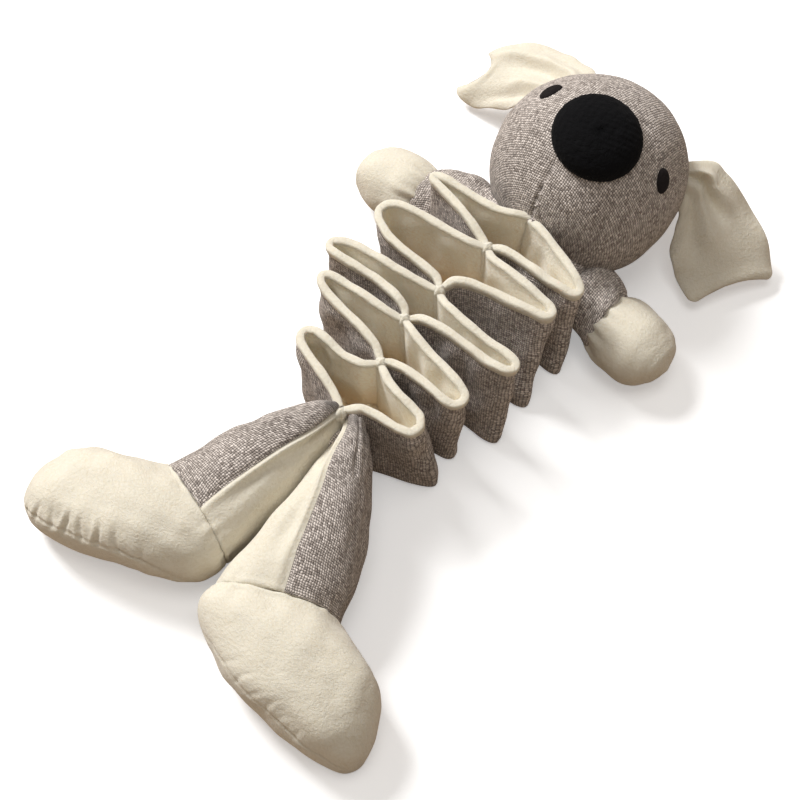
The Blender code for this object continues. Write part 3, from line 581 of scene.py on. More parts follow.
class PLUSH_OT_fabrics(bpy.types.Operator):
    """Make the fabrics that the covers are cut from"""

    bl_idname = "plush.fabrics"
    bl_label = "Fabrics"

    def execute(self, context):
        yarns = context.scene.plush_fabrics
        make_weave()
        make_nap()
        weave = {"Pitch": yarns.yarn_pitch, "Light Yarn": yarns.yarn_light, "Grey Yarn": yarns.yarn_grey,
                 "Dark Yarn": yarns.yarn_dark}
        make_fabric(HEATHER, "heather_weave", weave, 0.95, 0.2)
        # each pile is lighter than its hollows; the darker hollows are painted shade between the tufts
        for name, pile, hollows, painted_hollow_shade, sheen, specular, glow in (
            (FLEECE, yarns.fleece, yarns.fleece_hollows_in_shade, 0.4, 0.25, 0.3, 0.3),
            (PLUSH, [c * 1.2 for c in yarns.plush], yarns.plush, 0.6, 0.02, 0.03, 0.0),
            (FELT, [c * 1.6 for c in yarns.felt], yarns.felt, 0.5, 0.01, 0.08, 0.0),
        ):
            nap = {"Tuft Size": yarns.nap, "Pile": pile, "Hollows": hollows, "Painted Hollow Shade": painted_hollow_shade}
            make_fabric(name, "fleece_nap", nap, 0.92, sheen, specular, glow)
        self.make_lining(yarns)
        return {"FINISHED"}

    def make_lining(self, yarns):
        """Fleece lining with painted shade: it grows warmer and darker with depth down in the pockets."""
        draw, nap = make_fabric(LINING, "fleece_nap", {"Tuft Size": yarns.nap, "Painted Hollow Shade": 0.5}, 0.93, 0.15, 0.3, 0.3)
        mouth, bottom = (*yarns.lining, 1), (*yarns.lining_painted_depth_shade, 1)
        place = draw.node("SeparateXYZ", at_0=draw.node("TexCoord").outputs["Object"]).outputs
        # painted shade: from the mouths' colour at 50 mm high to the deep colour at 8 mm, by height alone
        pile = draw.mix_colours(draw.stretch(place[2], 50 * MM, 8 * MM), mouth, bottom)
        draw.plug(pile, nap.inputs["Pile"])
        # the hollows between the tufts take more of the painted depth shade
        draw.plug(draw.mix_colours(0.35, pile, bottom), nap.inputs["Hollows"])


# head

HEAD_CENTRE = np.array((4, 141.1, 56.5)) * MM
# bearings from the head's centre: where the padding is fuller, where it is flatter, the nose and the eyes
JOWL_BEARING = np.array((0.72, -0.62, -0.31))
BROW_BEARING = np.array((-0.55, 0.75, 0.37))
NOSE_BEARING = np.array((0.17, -0.24, 0.96))
EYE_BEARINGS = {"left": np.array((-0.55, -0.03, 0.83)), "right": np.array((0.83, 0.01, 0.55))}
EYE_TURNS = {"left": math.radians(-38), "right": math.radians(52)}
CHIN_STITCHES = (14, 22, 30, 38)


def head_surface(bearings, radius):
    """The head's cover at bearings from its centre: lumps, the chin's seam and its pulled stitches."""
    away = bearings * radius
    front = ease(-away[..., 1], 14 * MM, 30 * MM) * ease(away[..., 2], -10 * MM, 8 * MM)
    seam = away[..., 0] + 1.5 * MM * np.sin(away[..., 1] / (9 * MM))
    depth = -1.4 * MM * bump_line(seam, 1.0 * MM) * front
    depth += 4.5 * MM * bump_line(np.linalg.norm(bearings - JOWL_BEARING, axis=-1), 0.5)
    depth -= 2.5 * MM * bump_line(np.linalg.norm(bearings - BROW_BEARING, axis=-1), 0.5)
    depth += 0.3 * MM * np.cos(away[..., 2] / (0.9 * MM)) * bump_line(seam, 5 * MM) * front
    depth += 0.55 * MM * lumps(away, 30 * MM, 3) + 0.3 * MM * lumps(away, 13 * MM, 4)
    return HEAD_CENTRE + bearings * (radius + depth)[..., None]


class PLUSH_OT_head(bpy.types.Operator):
    """Make the padded head in grey weave, with the seam at its chin"""

    bl_idname = "plush.head"
    bl_label = "Head"

    def execute(self, context):
        radius = context.scene.plush_padding.head_radius
        rise = np.linspace(-math.pi / 2 + 0.02, math.pi / 2 - 0.02, 120)
        turn = full_turn(180, -math.pi / 2)
        y, across = np.sin(rise)[:, None], np.cos(rise)[:, None]
        bearings = np.stack((across * np.cos(turn), np.repeat(y, len(turn), 1), across * np.sin(turn)), -1)
        points = on_table(stuffed(head_surface(bearings, radius), 0.8 * MM, 0.03))
        head = cover("head_cover", points[::-1], HEATHER)
        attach(head, "head")
        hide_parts("head")
        self.add_chin_stitches(radius)
        return {"FINISHED"}

    def add_chin_stitches(self, radius):
        """Short pulled threads across the seam below the nose."""
        stitches = []
        for k, rise in enumerate(np.radians(CHIN_STITCHES)):
            points = []
            for side, lift in ((-1, -0.5), (-0.4, 0.15), (0.4, 0.15), (1, -0.5)):
                x = (side * 2.0 - 0.2) * MM / radius
                bearing = unit(np.array((x, -math.cos(rise + side * 0.02), math.sin(rise + side * 0.02))))
                points.append(head_surface(bearing[None], radius)[0] + bearing * lift * MM)
            stitches.append(thread(f"chin_stitch_{k}", points, 0.4 * MM, HEATHER))
        piece = joined("chin_stitches", stitches)
        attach(piece, "head")


def head_dome(bearing, radius, sizes, rings, roundness, fuzz, seed, turned=0.0):
    """A padded oval sewn on the head, as rings from its edge to its crown.

    sizes are its half width, half length, rise and how far its edge sinks, in mm.
    """
    half_width, half_length, rise, sink = np.array(sizes) * MM
    out = unit(bearing)
    across = unit(np.cross(AHEAD, out))
    up = np.cross(out, across)
    share = np.linspace(1.0, 0.012, rings[0])
    turns = full_turn(rings[1])
    x = half_width * share[:, None] * np.cos(turns)
    y = half_length * share[:, None] * np.sin(turns)
    x, y = x * math.cos(turned) - y * math.sin(turned), x * math.sin(turned) + y * math.cos(turned)
    bearings = unit(out * radius + x[..., None] * across + y[..., None] * up)
    height = rise * (1 - share**2.6) ** roundness - sink * share**14
    points = HEAD_CENTRE + bearings * (radius + height[:, None])[..., None]
    rng = np.random.default_rng(seed)
    rough = fuzz * (rng.normal(size=rings) * 0.5 + lumps(points, 2.2 * MM, seed))
    return points + bearings * rough[..., None]


class PLUSH_OT_face(bpy.types.Operator):
    """Make the black plush nose and the two felt eyes"""

    bl_idname = "plush.face"
    bl_label = "Nose and eyes"

    def execute(self, context):
        radius = context.scene.plush_padding.head_radius
        points = head_dome(NOSE_BEARING, radius, (29.3, 26.8, 11.3, 2), (60, 190), 0.62, 0.2 * MM, 5)
        nose = cover("nose_pad", points, PLUSH)
        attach(nose, "head")
        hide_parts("nose")
        for side, bearing in EYE_BEARINGS.items():
            points = head_dome(bearing, radius, (5.0, 7.5, 2.2, 0.8), (16, 56), 0.6, 0.05 * MM, 6, EYE_TURNS[side])
            eye = cover(f"eye_{side}_pad", points, FELT)
            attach(eye, "head")
            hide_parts(f"eye_{side}")
        return {"FINISHED"}


# each ear's edges from its root to its tip, in mm: place, far edge, near edge
EAR_EDGES = {
    "left": (
        (0.00, -24, 177, 52, -40, 158, 47),
        (0.15, -36, 202, 52, -61, 165, 38),
        (0.35, -55, 209, 47, -73, 166.5, 29),
        (0.60, -76, 211.5, 41, -87, 165.5, 16),
        (0.80, -95, 208.5, 34, -102, 163, 10),
        (0.93, -108, 202.5, 27, -111, 163.5, 9),
        (1.00, -114.5, 197.5, 22, -116, 166.5, 9),
    ),
    "right": (
        (0.00, 34, 177, 52, 42, 163, 45),
        (0.12, 52, 194, 54, 55, 163, 41),
        (0.28, 64, 197, 49, 60.5, 155, 33),
        (0.48, 80, 197.5, 39, 66, 146, 25),
        (0.68, 96, 195, 28, 73, 141, 19),
        (0.86, 110, 188.5, 17, 81, 137, 14),
        (1.00, 119, 181, 11, 92, 133.5, 11),
    ),
}
# soft folds along each ear: place across, depth in mm, where it ends along the ear, its width
EAR_FOLDS = {
    "left": (
        (-0.35, 2.6, 0.75, 0.16), (0.25, -2.4, 0.95, 0.15), (0.62, 2.0, 1.3, 0.13), (-0.75, -1.4, 0.9, 0.12)),
    "right": (
        (0.62, 3.4, 0.55, 0.15), (0.30, -3.6, 0.60, 0.12), (-0.10, 2.2, 0.95, 0.16), (-0.55, -2.0, 0.85, 0.15)),
}
# how far the end of each ear is scooped out at its middle
EAR_NOTCHES = {"left": 13 * MM, "right": 3.5 * MM}
EAR_HALF_THICKNESS = 2.6 * MM
# the row where an ear has left the head
EAR_FREE_ROW = 24


def ear_points(side_name):
    """The ear's flap as rows of flat padded sections between its two edges, pinched at its root."""
    side = SIDES[side_name]
    rows, columns = 120, 150
    along = 1 - (1 - np.linspace(0, 1, rows)) ** 1.35
    edges = smooth_values(EAR_EDGES[side_name], along) * MM
    far, near = edges[:, :3], edges[:, 3:]
    centres, across = (far + near) / 2, (far - near) / 2
    ahead = unit(np.gradient(centres, axis=0))
    up = unit(np.cross(ahead, unit(across)))
    up *= np.sign(up[:, 2:].mean())
    turns = full_turn(columns)
    t, lift = bent(np.cos(turns), 0.7), bent(np.sin(turns), 0.75)
    s = along[:, None]
    close = round_off((s - 0.955) / 0.045, 0.0004)
    corner = 1 - 0.16 * (1 - close)
    thick = EAR_HALF_THICKNESS * (1 + 0.5 * (1 - ease(s, 0.0, 0.3))) * close
    folds = np.zeros((rows, columns))
    for place, depth, reach, width in EAR_FOLDS[side_name]:
        line = bump_line(t - place * (0.75 + 0.25 * s), width * (0.7 + 0.8 * s))
        folds += 1.5 * depth * MM * line * (1 - ease(s, reach * 0.5, reach))
    folds *= ease(s, 0.02, 0.16)
    bow = -4.5 * MM * (t**2 - 0.4) * ease(s, 0.1, 0.5) * (1 - 0.4 * ease(s, 0.7, 1.0))
    waves = 1.6 * MM * np.sin(5.2 * s * math.pi + 2 * t) * np.abs(t) ** 3 * ease(s, 0.2, 0.5)
    notch = EAR_NOTCHES[side_name] * (1 - t**2) * ease(s, 0.72, 1.0)
    points = (
        centres[:, None]
        + (t * corner)[..., None] * across[:, None]
        + (lift * thick + folds + bow + waves)[..., None] * up[:, None]
        - notch[..., None] * ahead[:, None]
    )
    points = pushed(points, 0.4 * MM * lumps(points, 11 * MM, 21 + side) * side * close)
    return on_table(points), centres


class PLUSH_OT_ears(bpy.types.Operator):
    """Make the two floppy fleece ears, pinched and folded at their roots"""

    bl_idname = "plush.ears"
    bl_label = "Ears"

    def execute(self, context):
        for side_name in SIDES:
            points, centres = ear_points(side_name)
            ear = cover(f"ear_{side_name}_flap", points, FLEECE)
            turn_outward(ear)
            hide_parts(f"ear_{side_name}")
            tuple(centres[0])
            tuple(centres[EAR_FREE_ROW])
            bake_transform(ear)
        return {"FINISHED"}


# in mm, from the head to the feet: where the seams between the pockets stand on the table, and their tops
SEAM_FEET = (81, 51, 13, -13, -40, -75)
SEAM_TOPS = ((3.5, 87), (-2.5, 55.1), (-5, 15.8), (-7.6, -10.6), (0.8, -39.6), (3.8, -75.5))
POCKETS = len(SEAM_FEET) - 1
SEAM_BODIES = ("chest", "seam_1", "seam_2", "seam_3", "seam_4", "hips")
# middle of each pocket's rim, in mm, from its seam ahead round the fold's tip to its seam behind
RIMS = {
    "left": (
        ((8.5, 90.5), (3, 86), (-6, 79.8), (-15, 77), (-33, 75.5), (-46, 74.6), (-54.5, 73.6), (-57, 71.5),
         (-54, 69.6), (-48, 68.6), (-38, 66.4), (-19, 61), (-7, 57.2), (-3, 56)),
        ((-4, 53), (-12, 50.3), (-23, 49), (-43, 47), (-58, 43.8), (-64, 40), (-65, 34),
         (-61, 29), (-49, 23.6), (-37, 22), (-23, 22), (-11, 21.3), (-6.5, 18.8)),
        ((-8.5, 14.3), (-20, 12), (-32, 10), (-45, 9), (-58, 7.5), (-66, 5), (-71, 0.5),
         (-69, -4), (-62, -4.5), (-50, -3), (-37, -1.5), (-23, -2.5), (-12, -5), (-8.5, -8)),
        ((-9, -12), (-17, -13.5), (-25, -14.2), (-39, -14.5), (-50, -15.3), (-57, -16.7), (-60, -20),
         (-57, -23.8), (-50, -26.3), (-37, -28.5), (-23, -30.5), (-8, -33.5), (-1.5, -37)),
        ((-1, -42), (-5, -47.5), (-17, -50), (-29, -48.8), (-38, -48.6), (-43, -51), (-43.5, -55),
         (-40, -59), (-29, -63), (-18, -66), (-7, -69.5), (1, -73)),
    ),
    "right": (
        ((4.5, 84.5), (11, 83.5), (21, 80.5), (36, 75.3), (48, 70), (54, 66.8), (55, 63.2),
         (50.5, 60.6), (36, 59), (14, 60), (4, 59), (-0.5, 57)),
        ((-1, 53.5), (4, 50.8), (17, 49.8), (37, 48), (48, 47.2), (52.5, 44.5), (50.5, 39.5),
         (35, 36), (20, 34), (6, 30), (-3, 25), (-5.5, 19.5)),
        ((-5, 14.2), (4, 10.5), (19, 8.3), (36, 7.6), (48, 8), (56.5, 7), (58.5, 3.2),
         (55, -0.8), (46, -2.2), (29, -2.2), (12, -2.7), (-2, -4.5), (-6, -8)),
        ((-7, -11.5), (4, -15.5), (17, -18.5), (31, -21), (42, -23.4), (48.5, -25.8), (50, -30),
         (47.5, -34.5), (42, -36), (36, -35.5), (25, -34.5), (13, -34.7), (5, -36), (1.5, -38)),
        ((2, -42), (11, -46), (21, -49), (31, -50), (38, -51.3), (42, -56), (41, -62.5),
         (33, -65), (21, -65.7), (12, -67.8), (6, -72)),
    ),
}
# where each fold's lower end stands, in mm
FOLD_FEET = {
    "left": ((-50, 67), (-55, 33), (-62, 0), (-51, -25), (-40, -56)),
    "right": ((58, 50), (57.5, 21), (59, -8), (46, -32), (50, -51)),
}
# places along each side of a wall's foot, from its seam towards its fold's tip
FOOT_SHARES = np.array((0, 0.35, 0.7, 0.92))[:, None]
# in mm: how far a wall's foot keeps from the middle and from the seam, and how wide its fold opens there
FOOT_INSET, FOOT_GAP, FOOT_OPENING = 0.6, 2.2, 2.4
WALL_ROWS = 110
WALL_BOTTOM = 0.5 * MM
# levels up a quilted wall in mm, close together at its tucked bottom
WALL_LEVELS = np.concatenate((np.linspace(0, 1, 7) ** 1.6 * 7, np.linspace(10, 64, 18)))
# half the length over which a fold's two panels would blend; the walls work out its direction and make no blend
FOLD_BLEND = 2.4 * MM


def wall_path(side_name, number):
    """A wall's middle line at the rim and on the table, from its seam ahead to its seam behind."""
    corners = np.array(RIMS[side_name][number], float)
    for end, seam in ((0, number), (-1, number + 1)):
        if seam > 0:
            corners[end] = corners[end] * 0.4 + np.array(SEAM_TOPS[seam]) * 0.6
    rim = smooth_line(corners, WALL_ROWS) * 0.2 + straight_line(corners, WALL_ROWS) * 0.8
    tip = np.array(FOLD_FEET[side_name][number])
    halves = []
    for seam, way in ((number, 1), (number + 1, -1)):
        start = np.array((SIDES[side_name] * FOOT_INSET, SEAM_FEET[seam] - way * FOOT_GAP))
        halves.append(start + (tip + (0, way * FOOT_OPENING) - start) * FOOT_SHARES)
    foot = smooth_line(np.vstack((halves[0], tip, halves[1][::-1])), WALL_ROWS)
    return rim * MM, foot * MM


def wall_section(top, roll, half):
    """Heights and offsets up a wall's grey outside, over its rolled rim and down its lining, and their fabrics."""
    share = WALL_LEVELS / WALL_LEVELS[-1]
    narrow = ease(WALL_LEVELS, 58, 64)
    tuck = 0.2 + 0.8 * round_off(1 - WALL_LEVELS / 6)
    quilted = half * tuck * (1 + 0.18 * np.sin(share * math.pi)) * (1 - narrow)
    over = np.radians(np.linspace(-52, 180, 14))
    heights = (
        WALL_BOTTOM + share * (top - 2 * roll - 0.3 * MM - WALL_BOTTOM),
        top - roll + 0.9 * roll * bent(np.sin(over), 0.7),
        (WALL_BOTTOM + share * (top - 1.5 * roll - WALL_BOTTOM))[:, ::-1],
    )
    offsets = (
        quilted + 1.9 * MM * narrow,
        roll * bent(np.cos(over), 0.5),
        -(quilted + 0.92 * roll * narrow)[:, ::-1],
    )
    kinds = np.repeat((0, 1, 2), [part.shape[1] for part in heights])
    return np.hstack(heights), np.hstack(offsets), kinds


def wall_points(side_name, number, rim, foot, sizes):
    """A V-shaped wall as rows of closed sections, and what each column of its points is cut from."""
    side = SIDES[side_name]
    along = np.linspace(0, 1, WALL_ROWS)[:, None]
    ends = np.minimum(along, 1 - along)
    from_tip = np.abs(along - along[np.argmax(np.abs(rim[:, 0]))])
    top = sizes.wall_height - 2.6 * MM * bump_line(ends, 0.07) - 0.7 * MM * bump_line(from_tip, 0.05)
    top += 0.5 * MM * np.sin(along * 19 + number * 2 + side)
    roll = sizes.rim_radius * (1 + 0.05 * np.sin(along * 29 + number) + 0.02 * np.sin(along * 61 + side))
    roll *= 0.72 + 0.28 * ease(ends, 0.0, 0.05)
    half = sizes.wall_thickness / 2 * (0.62 + 0.38 * ease(ends, 0.0, 0.09))
    half *= 0.68 + 0.32 * ease(from_tip, 0.02, 0.12)
    heights, offsets, kinds = wall_section(top, roll, half)
    share = np.clip(heights / sizes.wall_height, 0, 1)
    settle = (share**0.85)[..., None]
    middle = foot[:, None] * (1 - settle) + rim[:, None] * settle
    ahead = unit(np.gradient(middle, axis=0))
    # the outer face looks away from the pocket
    away = np.stack((ahead[..., 1], -ahead[..., 0]), -1) * -side
    length = along * np.linalg.norm(np.diff(rim, axis=0), axis=1).sum()
    seed = 40 + number * 2 + (side > 0)

    def uneven(up, size, more):
        return lumps(np.stack(np.broadcast_arrays(length, up), -1), size, seed + more)

    fade = (1 - ease(share, 0.86, 0.93)) * ease(share, 0.0, 0.15) * ease(ends, 0.02, 0.1)
    # padding that swells both faces, and folds that they share
    puff = 0.9 * MM * uneven(heights * 0.7, 12 * MM, 30) * fade * np.sign(offsets)
    offsets += 0.8 * sizes.fold_depth * uneven(heights * 0.35, 11 * MM, 0) * fade + puff
    heights = heights + 0.35 * MM * uneven(number, 9 * MM, 60) * ease(share, 0.9, 0.97)
    return np.concatenate((middle + away * offsets[..., None], heights[..., None]), -1), kinds


class PLUSH_OT_walls(bpy.types.Operator):
    """Make the pockets' walls: grey outside, lined with fleece, with a rolled fleece rim"""

    bl_idname = "plush.walls"
    bl_label = "Pocket walls"

    def execute(self, context):
        for side_name in SIDES:
            for number in range(POCKETS):
                self.add_wall(side_name, number, context.scene.plush_pockets)
        return {"FINISHED"}

    def add_wall(self, side_name, number, sizes):
        rim, foot = wall_path(side_name, number)
        points, kinds = wall_points(side_name, number, rim, foot, sizes)
        if side_name == "right":
            points, kinds = points[:, ::-1], kinds[::-1]
        kinds = np.maximum(kinds, np.roll(kinds, -1))
        kinds[-1] = 0
        wall = cover(f"pocket_{number + 1}_wall_{side_name}", points, HEATHER, FLEECE, LINING, kinds=kinds)
        fold = f"{side_name}_fold_{number + 1}"
        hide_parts(f"wall_{fold}a", f"wall_{fold}b")
        tip, foot_tip = (line[np.argmax(np.abs(line[:, 0]))] for line in (rim, foot))
        x, y = tip - (rim[0] + rim[-1]) / 2
        way = unit((y / x, -1, (tip[1] - foot_tip[1]) / sizes.wall_height)) * FOLD_BLEND
        centre = np.array((*tip, sizes.wall_height))
        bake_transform(wall)


class PLUSH_OT_seams(bpy.types.Operator):
    """Make the pinched ridges where the pockets' walls are sewn together"""

    bl_idname = "plush.seams"
    bl_label = "Centre seams"

    def execute(self, context):
        share = np.linspace(0, 1, 46)
        turns = full_turn(48)
        lean = share**1.2
        # four soft ribs that turn a little on their way up
        ribs = 1 + 0.4 * np.abs(np.cos(2 * turns + 0.8 * (1 - lean[:, None]))) ** 1.4
        radius = (2.5 + 0.3 * ease(share, 0.85, 0.95)) * MM * round_off((share - 0.93) / 0.07, 0.0025)
        # the top is cut from the rims' fleece
        kinds = (share[:-1] > 0.9)[:, None]
        for number, ((x, y), foot_y) in enumerate(zip(SEAM_TOPS, SEAM_FEET)):
            between = 0 < number < POCKETS
            low, top = (1.5, 71.2) if between else (12, 70)
            centres = np.stack((x * lean, foot_y + (y - foot_y) * lean, low + (top - low) * share), -1) * MM
            around = oval_sections(0 * centres, RIGHT, AHEAD, radius, radius, turns)
            points = centres[:, None] + around * ribs[..., None]
            points = pushed(points, 0.3 * MM * lumps(points, 7 * MM, 70 + number))
            ridge = cover(f"centre_seam_{number}_ridge", points, LINING, FLEECE, kinds=kinds)
            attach(ridge, SEAM_BODIES[number])
            if between:
                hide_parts(f"centre_seam_{number}")
        return {"FINISHED"}


# each floor: how much its loose lining bunches up, how far it ends before the folds' tips in mm, how its
# stretch slants across the pocket, and how far that runs on past the pocket in mm
FLOORS = (
    (1.4, 14, -0.18, 8),
    (1.3, 14, -0.13, 8),
    (1.5, 14, -0.09, 8),
    (2.8, 11.5, -0.12, 4),
    (4.4, 11.5, 0.15, 0),
)
LINING_THICKNESS = 1.6 * MM


class PLUSH_OT_floors(bpy.types.Operator):
    """Make the pockets' crumpled floors of loose lining"""

    bl_idname = "plush.floors"
    bl_label = "Pocket floors"

    def execute(self, context):
        across = np.linspace(-1, 1, 34)
        edge = np.abs(across) ** 3
        for number, (bunch, short, slant, more) in enumerate(FLOORS):
            head_seam, foot_seam = SEAM_FEET[number:number + 2]
            length = head_seam - foot_seam
            left, right = FOLD_FEET["left"][number], FOLD_FEET["right"][number]
            corners = (left[0], 0, right[0])
            x = np.linspace(left[0] + short, right[0] - short, 96)[:, None]
            run = np.interp(x, corners, (1, 0, 1))
            y = np.interp(x, corners, (left[1], (head_seam + foot_seam) / 2, right[1]))
            half = (length / 2 - 3.2) * (1 - run) + 0.4
            spots = np.stack(np.broadcast_arrays(x, y + half * across), -1) * MM
            crumple = 1.5 * lumps(spots, 9 * MM, 90 + number) + 0.8 * lumps(spots, 4.5 * MM, 99 + number)
            z = 3.6 + 5.0 * (bunch - 1) + bunch * crumple * (1 - 0.5 * edge) * (1 - 0.5 * run) + 2.5 * edge
            z = np.maximum(z * MM, LINING_THICKNESS)
            upper = np.concatenate((spots, z[..., None]), -1)
            lower = upper.copy()
            lower[..., 1] = y * MM + half * across * 0.98 * MM
            lower[..., 2] = np.maximum(z - LINING_THICKNESS, 0.3 * MM)
            points = np.concatenate((upper, lower[:, ::-1]), 1)
            floor = cover(f"pocket_{number + 1}_floor", points[::-1], LINING)
            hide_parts(f"pocket_floor_{number + 1}")
            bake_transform(floor)
        return {"FINISHED"}


# chest, neck and arms

CHEST_CENTRE = np.array((0, 93, 30)) * MM
CHEST_HALF_SIZES = np.array((46, 25, 29)) * MM
# the room that the chest leaves round the head
HEAD_ROOM = 0.8 * MM


class PLUSH_OT_chest(bpy.types.Operator):
    """Make the small padded chest between the head and the first pocket, and the neck's gathers"""

    bl_idname = "plush.chest"
    bl_label = "Chest and neck"

    def execute(self, context):
        turn = np.linspace(0.03, math.pi - 0.03, 64)[:, None]
        around = full_turn(96)
        ball = np.broadcast_arrays(-np.cos(turn), np.sin(turn) * np.cos(around), np.sin(turn) * np.sin(around))
        points = stuffed(CHEST_CENTRE + np.stack(ball, -1) * CHEST_HALF_SIZES)
        points += unit(points - CHEST_CENTRE) * (0.8 * MM * lumps(points, 12 * MM, 11))[..., None]
        reach = context.scene.plush_padding.head_radius + HEAD_ROOM
        # the front follows the first pocket's wall and the back follows the head
        for _ in range(2):
            x = np.abs(points[..., 0]) / MM
            share = np.clip(points[..., 2] / context.scene.plush_pockets.wall_height, 0, 1)
            rim_y = np.interp(x, (0, 15, 33, 46), (88, 80.5, 79, 78))
            front = ((84 - 0.29 * x) * (1 - share) + rim_y * share) * MM
            points[..., 1] = np.maximum(points[..., 1], front)
            away = points - HEAD_CENTRE
            distance = np.linalg.norm(away, axis=-1, keepdims=True)
            points = np.where(distance < reach, HEAD_CENTRE + away / distance * reach, points)
        chest = cover("chest_cover", on_table(points), HEATHER)
        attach(chest, "chest")
        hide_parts("chest")
        self.add_neck()
        return {"FINISHED"}

    def add_neck(self):
        """A gathered ring of weave that closes the head's cover at the neck."""
        share = np.linspace(0, 1, 14)
        turns = full_turn(96)
        centres = HEAD_CENTRE * (1, 0, 1) + np.outer(83 + 4.5 * share, AHEAD) * MM
        radius = (13.2 + 0.6 * np.sin(share * math.pi)) * MM
        points = oval_sections(centres, RIGHT, UP, radius, radius, turns)
        neck = cover("neck_gathers", pushed(points, 0.5 * MM * np.cos(turns * 16)), HEATHER)
        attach(neck, "neck")
        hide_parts("neck_seam")


ARM_TILTS = {"left": math.radians(6), "right": math.radians(2)}
SLEEVES = {"left": 24 * MM, "right": 18 * MM}
PAW_LENGTHS = {"left": 46 * MM, "right": 45 * MM}
PAW_HALF_WIDTHS = {"left": 21.5 * MM, "right": 23 * MM}
PAW_HALF_HEIGHT = 21 * MM
# how full a paw is: place from its cuff to its end, share of its half sizes
PAW_SIZES = ((0, 0.74), (0.08, 0.86), (0.22, 0.97), (0.42, 1), (0.66, 0.91), (0.84, 0.68), (0.94, 0.43), (1, 0.02))
# how far a paw goes over its sleeve
CUFF_OVERLAP = 1.5 * MM


def arm_frame(side_name):
    """The shoulder's pivot, and the directions along and across the arm."""
    side, tilt = SIDES[side_name], ARM_TILTS[side_name]
    pivot = np.array((side * 47, 91.5, 28)) * MM
    along = np.array((side * math.cos(tilt), -math.sin(tilt), 0))
    return pivot, along, np.array((-along[1], along[0], 0))


class PLUSH_OT_arms(bpy.types.Operator):
    """Make the grey sleeves and the fleece paws gathered on their cuffs"""

    bl_idname = "plush.arms"
    bl_label = "Arms"

    def execute(self, context):
        pucker = context.scene.plush_padding.pucker_depth
        for side_name in SIDES:
            self.add_sleeve(side_name, pucker)
            self.add_paw(side_name, pucker)
        return {"FINISHED"}

    def add_sleeve(self, side_name, pucker):
        pivot, along, across = arm_frame(side_name)
        share = np.linspace(-0.75, 1.05, 60)
        grow = np.clip(share, 0, 1)
        radius = (18.5 + 1.0 * grow) * MM * round_off(-share / 0.76, 0.01)
        centres = pivot + along * (share * SLEEVES[side_name])[:, None]
        centres[:, 1] -= 2.5 * MM * (1 - grow) + 6 * MM * grow**2
        centres[:, 2] -= 6 * MM * grow
        turns = full_turn(96, -math.pi / 2)
        points = stuffed(oval_sections(centres, across, UP, radius * (1.16 - 0.14 * grow), radius, turns))
        s = share[:, None]
        depth = pucker * 0.3 * np.cos(turns * 13 + 2 * s) * ease(s, 0.55, 1.0) - 1.0 * MM * ease(s, 0.9, 1.05)
        depth += 0.9 * MM * lumps(points, 8 * MM, 30)
        sleeve = cover(f"sleeve_{side_name}_cover", on_table(pushed(points, depth)), HEATHER)
        turn_outward(sleeve)
        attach(sleeve, f"arm_{side_name}")
        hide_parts(f"sleeve_{side_name}")

    def add_paw(self, side_name, pucker):
        pivot, along, across = arm_frame(side_name)
        cuff = pivot + along * (SLEEVES[side_name] - CUFF_OVERLAP) - np.array((0, 7, 6)) * MM
        share = np.sin(np.linspace(0, 1, 84) * math.pi / 2) * 0.999
        sizes = np.maximum(smooth_values(PAW_SIZES, share)[:, 0], 0.02)
        run = share * (PAW_LENGTHS[side_name] + CUFF_OVERLAP)
        centres = cuff + along * run[:, None]
        centres[:, 2] += (PAW_HALF_HEIGHT - cuff[2]) * ease(share, 0.0, 0.55)
        turns = full_turn(120, -math.pi / 2)
        points = stuffed(oval_sections(
            centres, across, UP, PAW_HALF_WIDTHS[side_name] * sizes, PAW_HALF_HEIGHT * sizes, turns, 0.94))
        gathers = 0.75 * np.cos(turns * 11 + 1.3) + 0.4 * np.cos(turns * 19)
        depth = pucker * gathers * bump_line(run, 13 * MM)[:, None]
        depth += 0.7 * MM * lumps(points, 13 * MM, 33 + SIDES[side_name])
        depth *= ease(1 - share, 0.0, 0.08)[:, None]
        paw = cover(f"paw_{side_name}_cover", on_table(pushed(points, depth)), FLEECE)
        turn_outward(paw)
        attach(paw, f"arm_{side_name}")
        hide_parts(f"paw_{side_name}")


# hips, legs and feet


class PLUSH_OT_hips(bpy.types.Operator):
    """Make the saddle under the roots of the legs"""

    bl_idname = "plush.hips"
    bl_label = "Hips"

    def execute(self, context):
        share = np.linspace(-0.995, 0.995, 50)
        bulge = (1 - np.abs(share) ** 3.2) ** 0.45
        front, back = -77.5 + np.abs(share) * 7, -92
        centres = np.stack(np.broadcast_arrays(share * 27, (front + back) / 2, 29), -1) * MM
        half_width = (front - back) / 2 * bulge * MM
        points = oval_sections(centres, AHEAD, UP, half_width, 26 * MM * bulge, full_turn(72), 0.6)
        points = pushed(points, 0.5 * MM * lumps(points, 9 * MM, 51))
        hips = cover("hips_cover", on_table(points), HEATHER)
        turn_outward(hips)
        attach(hips, "hips")
        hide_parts("hips")
        return {"FINISHED"}


